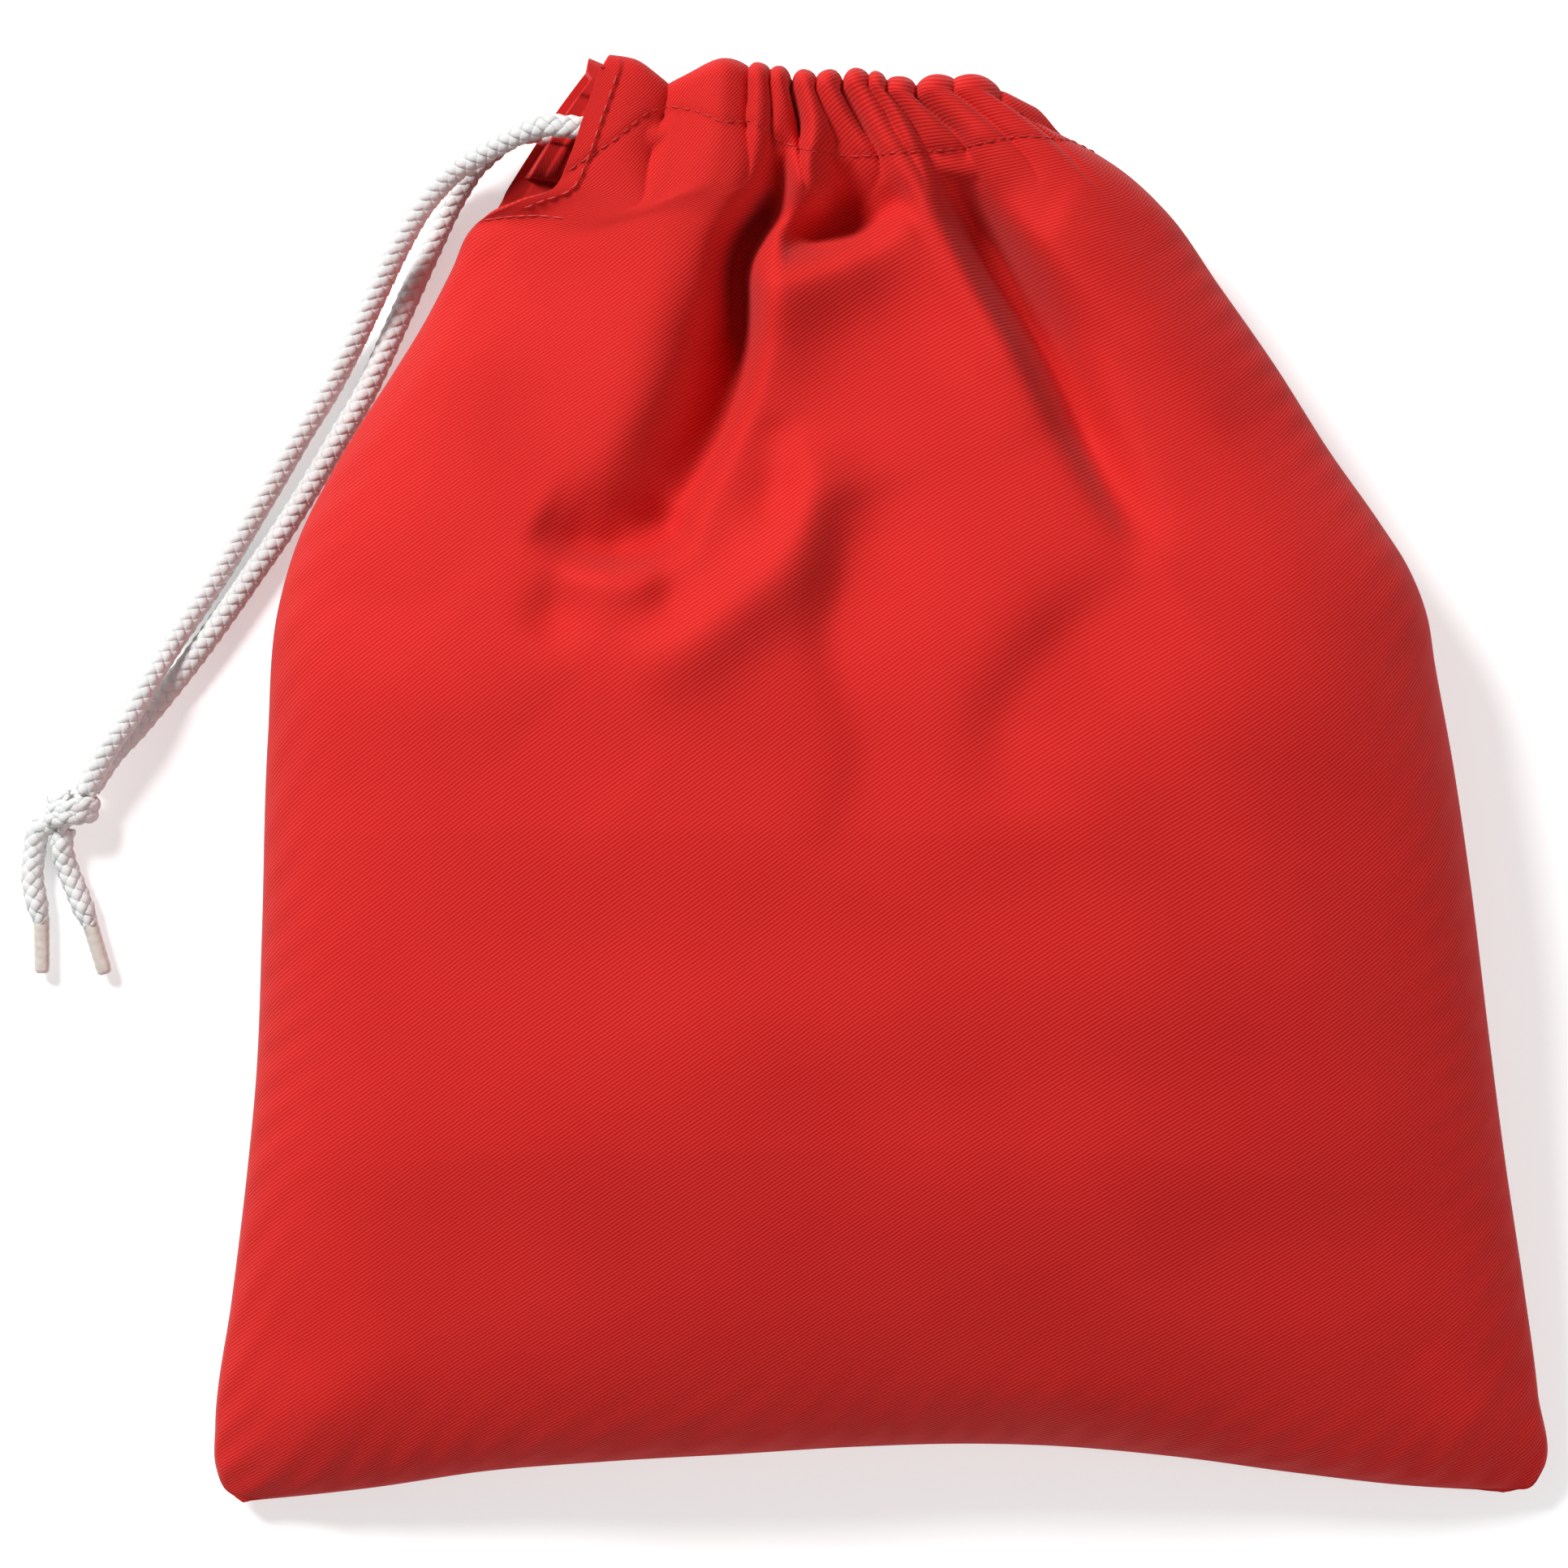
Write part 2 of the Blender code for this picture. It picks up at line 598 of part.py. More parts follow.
for name, route, lean in (("left", left_route, 0.0001), ("right", right_route, 0.0028)):
    line = flow(route, 12)
    add_cord("end_" + name, line, CORD, white, 3, ball=True)
    heading = Vector((lean, -TIP_LENGTH, 0.0)).normalized()
    start = line[-1] + (line[-1] - line[-2]).normalized() * SEW_GAP * 1.5
    tip = [start + heading * (TIP_LENGTH * k / 4) for k in range(5)]
    add_cord("tip_" + name, tip, TIP, ivory, 3)
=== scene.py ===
"""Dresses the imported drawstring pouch: twill cloth, stitching, braided drawcord, knot and tips."""

import math

import bpy
import numpy as np
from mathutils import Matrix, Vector


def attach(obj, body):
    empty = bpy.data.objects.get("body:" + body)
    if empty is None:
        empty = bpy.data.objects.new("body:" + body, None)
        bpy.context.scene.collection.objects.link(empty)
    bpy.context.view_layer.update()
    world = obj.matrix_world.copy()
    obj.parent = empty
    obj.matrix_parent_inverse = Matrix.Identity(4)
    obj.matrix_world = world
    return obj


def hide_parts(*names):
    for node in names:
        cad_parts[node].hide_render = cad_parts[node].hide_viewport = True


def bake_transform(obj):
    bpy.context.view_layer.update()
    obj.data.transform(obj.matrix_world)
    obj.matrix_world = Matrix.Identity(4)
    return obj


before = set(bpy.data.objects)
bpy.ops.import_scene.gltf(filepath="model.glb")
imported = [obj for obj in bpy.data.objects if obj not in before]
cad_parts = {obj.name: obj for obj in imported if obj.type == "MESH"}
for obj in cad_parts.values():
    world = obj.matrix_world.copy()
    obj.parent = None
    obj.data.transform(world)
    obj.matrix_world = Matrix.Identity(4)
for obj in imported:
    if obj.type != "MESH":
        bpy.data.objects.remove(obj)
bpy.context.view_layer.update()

rng = np.random.default_rng(7)

# Photo scale: one picture point on the bag, and the picture point that lies over the origin
POINT = 0.00014945
POINT_X = 1085.0
POINT_Y = 970.0

# Cloth and thread
PLY = 0.0007
RIB_PITCH = 0.00064
RIB_ANGLE = math.radians(34.0)
BEAD_PITCH = 0.00050  # spacing of the threads along a rib
CASING_TURN = 0.0029  # how far the casing bends over past the mouth's edge
HEM_WIDTH = 0.0034  # hem of the slit, from its edge to its stitches
HEM_END = 0.0042  # where the hem's step has run out
WAVE_COUNT = 14
WAVE_LENGTHS = (0.022, 0.080)
WAVE_HEIGHT = 0.00020
PUCKER_PITCH = 0.0085
PUCKER_REACH = 0.0050
PUCKER_HEIGHT = 0.00045
STITCH = 0.0024
THREAD = 0.00034

# Heights, as the solids have them
PUFF = 0.0400
SEAM_CORNER_Z = 0.0050
SEAM_LOW_Z = 0.0118
SEAM_SIDE_Z = 0.0160
SEAM_HIGH_Z = 0.0172
SEAM_TOP_Z = 0.0175
BOTTOM_SEAM_LIFT = 0.0090
FRONT_RUN_Z = 0.0280
BACK_RUN_Z = 0.0070

# Drawcord
CORD = 0.0045
PLAIT = 0.0100
REST_Z = CORD / 2 + 0.0003
PILED_Z = REST_Z + CORD + 0.0003
TIP = 0.0030
TIP_LENGTH = 0.0094
TIP_OVERLAP = 0.0012  # length of a tip that is pushed over the cord's end

# The braid, as shares of the cord's thickness: crowns stand at a half
STRANDS_EACH_WAY = 4
STRAND_MIDDLE = 0.345
STRAND_LIFT = 0.055
STRAND_WIDE = 0.225
STRAND_TALL = 0.100
BRAID_CORE = 0.395

# Spacing of the points of the tails, of the run in the casing and of the knot
TAIL_STEP = 0.00042
LOOP_STEP = 0.00055
KNOT_STEP = 0.0004

# The casing's shape and the grids of the cloth
NECK_Y = 0.1058
FOLD_SOFTENING = 6
CASING_Q = 0.918  # share of the height at which the casing is sewn down
MOUTH_TILT = math.radians(5.0)
ALONG = np.array((math.cos(MOUTH_TILT), -math.sin(MOUTH_TILT), 0.0))
MOUTH_MIDDLE = np.array((-0.0128, 0.116813, 0.0))
TURN_S = 0.0293  # where the cord turns from the front to the back, along the mouth
HALF_RISE = (FRONT_RUN_Z - BACK_RUN_Z) / 2
SLEEVE = CORD / 2 + 0.0011
COLUMNS = 330
BODY_ROWS = 330
TURN_ROWS = 10
INNER_ROWS = 26

# Folds that start above this picture height run on into the mouth
MOUTH_POINT_Y = 190

# Outline of the laid bag, in picture points, bottom to top at the sides and left to right elsewhere
LEFT_EDGE = (
    (296, 1856), (272, 1840), (262, 1815), (261, 1760), (283, 1600), (302, 1450), (314, 1330),
    (322, 1150), (330, 910), (343, 750), (370, 660), (405, 590), (440, 530), (485, 460), (522, 400),
    (556, 335), (582, 282), (640, 256), (688, 236), (703, 205), (722, 150), (742, 92),
)
SLIT_FOOT = 16  # place of the slit's foot in the left edge
BACK_LEFT_EDGE = LEFT_EDGE[: SLIT_FOOT + 1] + ((606, 258), (622, 228), (652, 180), (684, 130), (718, 84))
RIGHT_EDGE = (
    (1858, 1843), (1894, 1836), (1908, 1815), (1900, 1720), (1880, 1580), (1858, 1440), (1835, 1270),
    (1815, 1110), (1790, 940), (1768, 820), (1757, 755),
    (1735, 700), (1700, 645), (1640, 560), (1570, 450), (1500, 350),
    (1440, 265), (1380, 210), (1345, 188), (1312, 172),
)
BOTTOM_EDGE = (
    (296, 1856), (450, 1838), (600, 1815), (750, 1802), (900, 1793), (1050, 1784), (1190, 1780), (1300, 1783),
    (1450, 1797), (1600, 1818), (1740, 1835), (1858, 1843),
)
# Mouth edge: picture point and share of the flat cloth to its left
FRONT_MOUTH = (
    (742, 92, 0.0), (780, 98, 0.05), (823, 119, 0.12), (890, 97, 0.22), (940, 104, 0.32),
    (1000, 112, 0.47), (1060, 110, 0.60), (1110, 120, 0.71), (1160, 117, 0.80), (1210, 120, 0.88),
    (1256, 148, 0.95), (1312, 172, 1.0),
)
BACK_MOUTH = (
    (718, 84, 0.0), (760, 100, 0.10), (850, 114, 0.25), (950, 114, 0.42), (1050, 118, 0.60),
    (1150, 120, 0.78), (1240, 136, 0.93), (1312, 172, 1.0),
)
# Stitch line under the casing, in picture points
CASING_LINE = (
    (560, 262), (640, 244), (700, 220), (760, 180), (800, 146), (825, 138), (858, 145), (890, 160),
    (926, 158), (958, 180), (1000, 196), (1060, 200),
    (1120, 196), (1180, 190), (1250, 176), (1318, 178), (1360, 196),
)
# Gathers along the mouth: picture x of each valley and its depth
PLEATS = (
    (823, 0.0036), (922, 0.0036), (948, 0.0030), (974, 0.0066), (1004, 0.0036), (1036, 0.0060),
    (1068, 0.0030), (1090, 0.0036), (1126, 0.0052), (1172, 0.0026), (1230, 0.0022),
)
# Folds of the front: route in picture points, height at each route point, and how far the fold reaches to
# either side. For a route that runs down the picture the first reach is to its left, for one that runs
# rightwards the first reach is below it.
FOLDS = (
    (((978, 112), (974, 160), (966, 200), (946, 262), (912, 330), (913, 385), (914, 440)),
     (-0.008, -0.014, -0.017, -0.019, -0.017, -0.009, 0.0), 0.0038, 0.0024),
    (((946, 262), (912, 330), (914, 385), (914, 430), (888, 525), (848, 615), (822, 690)),
     (0.0, -0.004, -0.012, -0.019, -0.015, -0.011, -0.007), 0.0096, 0.0024),
    (((656, 652), (710, 678), (764, 687), (806, 680), (856, 652)),
     (0.0, -0.0075, -0.011, -0.010, -0.003), 0.0026, 0.0084),
    (((992, 244), (956, 348), (944, 452), (930, 530)), (0.001, 0.0036, 0.0032, 0.0), 0.0026, 0.0090),
    (((949, 182), (863, 354), (777, 525), (691, 623)), (0.002, 0.004, 0.004, 0.0), 0.0160, 0.0070),
    (((690, 714), (748, 712), (800, 722), (826, 758)), (0.0005, 0.0030, 0.0032, 0.0005), 0.0064, 0.0026),
    (((724, 700), (692, 760), (672, 806)), (-0.0005, -0.0038, -0.0005), 0.0050, 0.0060),
    (((818, 700), (826, 742), (833, 788)), (-0.0005, -0.0028, -0.0005), 0.0046, 0.0040),
    (((986, 530), (992, 600), (990, 645), (974, 682), (915, 742), (840, 800), (755, 834)),
     (0.001, 0.0045, 0.0056, 0.0064, 0.0058, 0.0042, 0.0), 0.0056, 0.0080),
    (((949, 520), (962, 608), (940, 662)), (-0.001, -0.0045, -0.001), 0.0055, 0.0036),
    (((1022, 596), (1042, 672), (1030, 795), (1071, 930), (1010, 1090)),
     (-0.001, -0.0044, -0.0040, -0.0024, 0.0), 0.0055, 0.0150),
    (((1003, 124), (996, 180), (986, 213), (1003, 246), (1008, 276)),
     (0.003, 0.007, 0.008, 0.007, 0.002), 0.0030, 0.0028),
    (((1040, 130), (1037, 195), (1040, 240), (1054, 272)), (-0.004, -0.010, -0.010, -0.002), 0.0040, 0.0044),
    (((956, 308), (1004, 300), (1056, 282), (1124, 240)), (-0.003, -0.0125, -0.0135, -0.004), 0.0030, 0.0074),
    (((921, 356), (961, 357), (1040, 323), (1123, 271)), (0.002, 0.0062, 0.0066, 0.002), 0.0095, 0.0034),
    (((1128, 160), (1146, 190), (1182, 260), (1220, 330), (1277, 430), (1325, 530), (1370, 618), (1424, 706)),
     (-0.003, -0.009, -0.018, -0.021, -0.018, -0.011, -0.006, -0.001), 0.0034, 0.0056),
    (((1117, 170), (1156, 250), (1196, 323), (1254, 434), (1318, 544)),
     (0.002, 0.006, 0.0065, 0.0055, 0.0), 0.0100, 0.0030),
    (((1138, 146), (1212, 225), (1310, 323), (1408, 421), (1540, 545)),
     (0.001, 0.004, 0.005, 0.004, 0.0), 0.0060, 0.0140),
    (((1192, 196), (1243, 238), (1304, 276)), (-0.003, -0.004, -0.001), 0.0046, 0.0090),
    (((1428, 706), (1310, 800), (1242, 890), (1235, 1020)), (-0.001, -0.0045, -0.0036, 0.0), 0.0075, 0.0170),
    (((560, 760), (680, 880), (800, 980)), (0.0, -0.0026, 0.0), 0.0130, 0.0150),
    (((620, 330), (560, 460), (500, 600), (470, 760)), (0.0, 0.0030, 0.0030, 0.0), 0.0120, 0.0160),
    (((1100, 1690), (1300, 1720), (1500, 1765)), (0.0, 0.0020, 0.0), 0.0080, 0.0080),
    (((1890, 1800), (1820, 1740), (1740, 1660)), (0.0, 0.0026, 0.0), 0.0060, 0.0080),
    (((300, 1820), (400, 1740), (520, 1640)), (0.0, 0.0028, 0.0), 0.0090, 0.0100),
)


def plan(points):
    """Picture points as places on the floor, in metres."""
    points = np.asarray(points, float)
    return np.stack(((points[:, 0] - POINT_X) * POINT, (POINT_Y - points[:, 1]) * POINT), 1)


def smooth(a, b, t):
    """0 at a, 1 at b, with soft ends."""
    share = np.clip((t - a) / (b - a), 0.0, 1.0)
    return share * share * (3.0 - 2.0 * share)


def spline(points, places, at):
    """Smooth curve through points at the given places, read at other places."""
    points = np.asarray(points, float)
    places = np.asarray(places, float)
    at = np.asarray(at, float)
    slopes = np.gradient(points, places, axis=0)
    i = np.clip(np.searchsorted(places, at, side="right") - 1, 0, len(places) - 2)
    span = places[i + 1] - places[i]
    u = ((at - places[i]) / span)[:, None]
    span = span[:, None]
    return (
        points[i] * (1 + 2 * u) * (1 - u) ** 2
        + slopes[i] * span * u * (1 - u) ** 2
        + points[i + 1] * u * u * (3 - 2 * u)
        + slopes[i + 1] * span * u * u * (u - 1)
    )


def along(points):
    """Length run at each point of a line."""
    steps = np.linalg.norm(np.diff(points, axis=0), axis=1)
    return np.concatenate(([0.0], np.cumsum(steps)))


def edge_curve(points, at):
    """Smooth line through picture points, read at shares of its length."""
    line = plan(points)
    run = along(line)
    return spline(line, run / run[-1], at)


def valley(x, marks):
    """Depth below the ridges of the gathers: round ridges and sharp valleys."""
    middles = np.array([mark[0] for mark in marks], float)
    depths = np.array([mark[1] for mark in marks])
    ridges = (middles[1:] + middles[:-1]) / 2
    ridges = np.concatenate(([middles[0] - 45], ridges, [middles[-1] + 30]))
    found = np.zeros_like(x)
    for k, middle in enumerate(middles):
        left, right = ridges[k], ridges[k + 1]
        reach = np.where(x < middle, middle - left, right - middle)
        low = 1.0 - np.clip(np.abs(x - middle) / reach, 0.0, 1.0)
        round_top = 1.0 - np.sqrt(np.maximum(0.0, 1.0 - (0.97 * low) ** 2))
        found = np.where((x >= left) & (x <= right), depths[k] * 1.25 * round_top, found)
    return found


def fold_heights(x, y):
    """Height that the folds add at each point of the front."""
    total = np.zeros_like(x)
    for route, heights, reach_left, reach_right in FOLDS:
        dense = np.linspace(0.0, 1.0, 60)
        line = plan(route)
        run = along(line)
        curve = spline(line, run / run[-1], dense)
        height = np.interp(dense, run / run[-1], heights) * smooth(1.0, 0.90, dense)
        if route[0][1] > MOUTH_POINT_Y:
            height = height * smooth(0.0, 0.10, dense)
        best = np.full(x.shape, 1e9)
        side = np.zeros_like(x)
        value = np.zeros_like(x)
        for k in range(len(dense) - 1):
            ax, ay = curve[k]
            bx, by = curve[k + 1] - curve[k]
            share = np.clip(((x - ax) * bx + (y - ay) * by) / (bx * bx + by * by), 0.0, 1.0)
            ox = x - ax - bx * share
            oy = y - ay - by * share
            far = np.hypot(ox, oy)
            nearer = far < best
            best = np.where(nearer, far, best)
            side = np.where(nearer, bx * oy - by * ox, side)
            value = np.where(nearer, height[k] + (height[k + 1] - height[k]) * share, value)
        reach = np.where(side < 0, reach_left, reach_right)
        total += value * np.exp(-((best / reach) ** 2))
    for _ in range(FOLD_SOFTENING):
        total = np.pad(total, 1, mode="edge")
        total = (total[:-2] + 2.0 * total[1:-1] + total[2:]) / 4.0
        total = (total[:, :-2] + 2.0 * total[:, 1:-1] + total[:, 2:]) / 4.0
    return total


def bulge(p, q):
    """Share of the puff across the bag, rounder near the bottom."""
    return np.sqrt(np.maximum(0.0, 1.0 - np.abs(p) ** (2.0 + 3.0 * q * q)))


def rise(q, reach):
    """Share of the puff above the bottom seam."""
    left = np.maximum(0.0, 1.0 - q / reach)
    return np.sqrt(1.0 - left * left)


def seam_height(p, q):
    """Height of the seams above the floor."""
    heights = (SEAM_CORNER_Z, SEAM_LOW_Z, SEAM_SIDE_Z, SEAM_HIGH_Z, SEAM_TOP_Z)
    side = np.interp(q, (0.0, 0.25, 0.5, 0.75, 1.0), heights)
    return side + BOTTOM_SEAM_LIFT * (1.0 - p * p) * (1.0 - q) ** 3


def waves(u, v):
    """Slight unevenness of laid cloth."""
    total = np.zeros_like(u)
    shaker = np.random.default_rng(11)
    for _ in range(WAVE_COUNT):
        length = shaker.uniform(*WAVE_LENGTHS)
        turn = shaker.uniform(0.0, math.pi)
        phase = shaker.uniform(0.0, 2 * math.pi)
        reach = u * math.cos(turn) + v * math.sin(turn)
        total += length / 0.06 * np.sin(reach * 2 * math.pi / length + phase)
    return total * WAVE_HEIGHT


def cloth_grid(left_edge, mouth, front):
    """Points of one side of the bag: rows from the bottom seam up over the casing and down inside it."""
    line = np.linspace(-1.0, 1.0, COLUMNS + 1)
    p = 0.72 * line + 0.28 * np.sin(math.pi / 2 * line)
    q = np.linspace(0.0, 1.0, BODY_ROWS + 1)
    q = 0.85 * q + 0.15 * q * q
    left = edge_curve(left_edge, q)
    right = edge_curve(RIGHT_EDGE, q)
    share = (p + 1.0) / 2.0
    low = edge_curve(BOTTOM_EDGE, share)
    marks = np.array(mouth, float)
    high = spline(plan(marks[:, :2]), marks[:, 2], share)
    s = share[None, :, None]
    t = q[:, None, None]
    # The bottom edge keeps its sag only near the bottom, and the gathers their spacing only near the top
    flat = (1 - s) * left[:, None, :] + s * right[:, None, :]
    low_bend = low - ((1 - share[:, None]) * low[0] + share[:, None] * low[-1])
    high_bend = high - ((1 - share[:, None]) * high[0] + share[:, None] * high[-1])
    grid = flat + (1 - t) ** 2 * low_bend[None] + t**2.2 * high_bend[None]
    x, y = grid[..., 0], grid[..., 1]
    pp = np.broadcast_to(p[None, :], x.shape)
    qq = np.broadcast_to(q[:, None], x.shape)
    # Above the slit's foot the left edges are free and each keeps its own height
    outline = plan(left_edge)
    run = along(outline)
    foot = run[SLIT_FOOT] / run[-1]
    free = smooth(foot, foot + 0.07, qq)
    held = np.where(pp < 0, pp * (1.0 - 0.5 * free), pp)
    neck_y = NECK_Y - math.tan(MOUTH_TILT) * (x - MOUTH_MIDDLE[0])
    body_q = np.clip((y - low[None, :, 1]) / (neck_y - low[None, :, 1]), 0.0, 1.0)
    seam = seam_height(pp, body_q)
    top_x = np.broadcast_to((high[:, 0] / POINT + POINT_X)[None, :], x.shape)
    pleat = valley(top_x + 6.0 * np.sin(qq * 70.0 + top_x * 0.05) * smooth(1.0, 0.9, qq), PLEATS)
    steps = np.hypot(np.diff(x, axis=1), np.diff(y, axis=1))
    from_left = np.concatenate((np.zeros((len(q), 1)), np.cumsum(steps, axis=1)), 1)
    hem = smooth(HEM_END, HEM_WIDTH, from_left) * free
    sewn = plan(CASING_LINE)
    above = y - np.interp(x, sewn[:, 0], sewn[:, 1])
    doubled = smooth(-0.0004, 0.0004, above)
    pucker = np.exp(-((above / 0.0011) ** 2))
    inside = smooth(0.87, 0.95, qq)
    reach_s = (x - MOUTH_MIDDLE[0]) * ALONG[0] + (y - MOUTH_MIDDLE[1]) * ALONG[1]
    reach_t = -(x - MOUTH_MIDDLE[0]) * ALONG[1] + (y - MOUTH_MIDDLE[1]) * ALONG[0]
    turned = np.clip((reach_s - TURN_S) / HALF_RISE, 0.0, 1.0)
    sleeve = np.sqrt(np.maximum(SLEEVE**2 - reach_t**2, 0.0))
    covered = (np.abs(reach_t) < SLEEVE) & (turned < 1.0)
    if front:
        crown = FRONT_RUN_Z + CASING_TURN + 0.0012 - SEAM_TOP_Z
        height = PUFF * rise(body_q, 0.45) + (crown - PUFF) * smooth(0.58, 1.0, body_q)
        height = height + 0.0036 * smooth(845, 900, top_x) * inside
        z = height * bulge(held, body_q)
        smooth_z = seam + z
        fade = 1.0 - 0.85 * smooth(0.86, 0.985, qq)
        z = z + fold_heights(x, y) * smooth(0.0, 0.5, bulge(held, qq)) * fade
        z = z - pleat * smooth(0.895, 0.972, qq)
        fine = waves(x, y) + 0.0004 * doubled - 0.0002 * pucker
        z = z + fine * smooth(0.0, 0.6, bulge(held, qq)) + 0.0006 * hem
        z = seam + np.maximum(z, 0.0)
        over = SEAM_TOP_Z + HALF_RISE * np.sqrt(1.0 - turned**2) + sleeve
        z = np.where(covered, np.maximum(z, over), z)
    else:
        reach = np.minimum(1.0, 1.25 * rise(body_q, 0.12) * bulge(held, body_q))
        lift = 0.0014 * smooth(0.80, 0.95, qq)
        z = seam * (1.0 - reach) + (lift + 0.0004) * reach
        smooth_z = z
        z = z + 0.42 * pleat * smooth(0.82, 0.95, qq) - 0.0004 * hem
        under = SEAM_TOP_Z - HALF_RISE * np.sqrt(1.0 - turned**2) - sleeve
        z = np.where(covered, np.minimum(z, under), z)
    # Puckers along the seams
    edge = np.minimum(np.minimum(from_left, from_left[:, -1:] - from_left), (y - low[None, :, 1]))
    ripple = np.sin((x - y) * 2 * math.pi / PUCKER_PITCH + 3.0 * np.sin((x + y) * 60.0))
    ripple = ripple * np.exp(-edge / PUCKER_REACH)
    z = z + PUCKER_HEIGHT * ripple * smooth(0.0, 0.0015, edge) * (1.0 - free)
    y = y - 0.40 * pleat * smooth(0.94, 1.0, qq)
    body = np.stack((x, y, np.maximum(z, 0.0003)), -1)
    # Turn over the cord at the mouth, then run back down inside
    heading = np.array((math.sin(MOUTH_TILT), math.cos(MOUTH_TILT), 0.0))
    ends = smooth(1.0, 0.93, pp[-1]) * smooth(-1.0, -0.975, pp[-1])
    sign = -1.0 if front else 1.0
    middle_z = FRONT_RUN_Z if front else BACK_RUN_Z
    half = np.maximum(np.abs(body[-1, :, 2] - middle_z), SLEEVE) * ends
    rows = [body]
    for k in range(1, TURN_ROWS + 1):
        turn = math.pi * k / TURN_ROWS
        row = body[-1] + heading * (CASING_TURN * math.sin(turn)) * ends[:, None]
        row[:, 2] += sign * half * (1.0 - math.cos(turn))
        rows.append(row[None])
    stitch_row = float(np.interp(CASING_Q, q, np.arange(len(q))))
    for k in range(1, INNER_ROWS + 1):
        part = k / INNER_ROWS
        outer_row = int(round(BODY_ROWS + (stitch_row - BODY_ROWS) * part))
        row = body[outer_row].copy()
        row[:, 2] += sign * (2 * half * math.sqrt(1.0 - 0.98 * part * part) + 1.6 * PLY)
        row[:, :2] += (MOUTH_MIDDLE[:2] - row[:, :2]) * 0.035
        rows.append(row[None])
    whole = np.concatenate(rows)
    laid = whole.copy()
    laid[: BODY_ROWS + 1, :, 2] = smooth_z
    laid[BODY_ROWS + 1 :, :, 2] = smooth_z[-1][None]
    return whole, laid, q


def add_object(name, points, faces, look, smooth_faces=True):
    mesh = bpy.data.meshes.new(name)
    mesh.from_pydata(np.asarray(points).reshape(-1, 3).tolist(), [], faces)
    mesh.materials.append(look)
    mesh.update()
    if smooth_faces:
        mesh.polygons.foreach_set("use_smooth", np.ones(len(mesh.polygons), bool))
    made = bpy.data.objects.new(name, mesh)
    bpy.context.scene.collection.objects.link(made)
    return made


def add_cloth(name, grid, laid, look, flip):
    """Cloth of one ply on a grid of points, with the lengths along the laid cloth as its UV map."""
    rows, width = grid.shape[:2]
    index = np.arange(rows * width).reshape(rows, width)
    quads = np.stack((index[:-1, :-1], index[:-1, 1:], index[1:, 1:], index[1:, :-1]), -1).reshape(-1, 4)
    if flip:
        quads = quads[:, ::-1]
    made = add_object(name, grid, quads.tolist(), look)
    across = np.linalg.norm(np.diff(laid, axis=1), axis=2)
    u = np.concatenate((np.zeros((rows, 1)), np.cumsum(across, axis=1)), 1)
    u -= u[:, width // 2][:, None]
    up = np.linalg.norm(np.diff(laid, axis=0), axis=2)
    v = np.concatenate((np.zeros((1, width)), np.cumsum(up, axis=0)))
    flat = np.stack((u, v), -1).reshape(-1, 2)
    layer = made.data.uv_layers.new(name="Cloth")
    corners = np.empty(len(made.data.loops), np.int32)
    made.data.loops.foreach_get("vertex_index", corners)
    layer.data.foreach_set("uv", flat[corners].astype(np.float32).ravel())
    thick = made.modifiers.new("ply", "SOLIDIFY")
    thick.thickness = PLY
    thick.offset = -1.0
    bpy.context.view_layer.objects.active = made
    made.select_set(True)
    bpy.ops.object.modifier_apply(modifier=thick.name)
    made.select_set(False)
    return made


def node(tree, kind, **values):
    made = tree.nodes.new(kind)
    for name, value in values.items():
        setattr(made, name, value)
    return made


def math_node(tree, operation, a, b=None):
    made = node(tree, "ShaderNodeMath", operation=operation)
    for slot, value in ((0, a), (1, b)):
        if value is None:
            continue
        if isinstance(value, (int, float)):
            made.inputs[slot].default_value = value
        else:
            tree.links.new(value, made.inputs[slot])
    return made.outputs[0]


def noise(tree, vector, scale, detail=3.0):
    made = node(tree, "ShaderNodeTexNoise")
    made.inputs["Scale"].default_value = scale
    made.inputs["Detail"].default_value = detail
    tree.links.new(vector, made.inputs["Vector"])
    return made.outputs["Fac"]


def ramp(tree, fac, stops):
    made = node(tree, "ShaderNodeValToRGB")
    tree.links.new(fac, made.inputs["Fac"])
    first, last = made.color_ramp.elements
    first.position, first.color = stops[0][0], (*stops[0][1], 1.0)
    last.position, last.color = stops[-1][0], (*stops[-1][1], 1.0)
    for place, colour in stops[1:-1]:
        extra = made.color_ramp.elements.new(place)
        extra.color = (*colour, 1.0)
    return made.outputs["Color"]


def plain_material(name, roughness, colour):
    made = bpy.data.materials.new(name)
    made.use_nodes = True
    shader = made.node_tree.nodes["Principled BSDF"]
    shader.inputs["Base Color"].default_value = (*colour, 1.0)
    shader.inputs["Roughness"].default_value = roughness
    return made, made.node_tree, shader


def bump(tree, shader, height, strength, distance):
    made = node(tree, "ShaderNodeBump")
    made.inputs["Strength"].default_value = strength
    made.inputs["Distance"].default_value = distance
    tree.links.new(height, made.inputs["Height"])
    tree.links.new(made.outputs["Normal"], shader.inputs["Normal"])


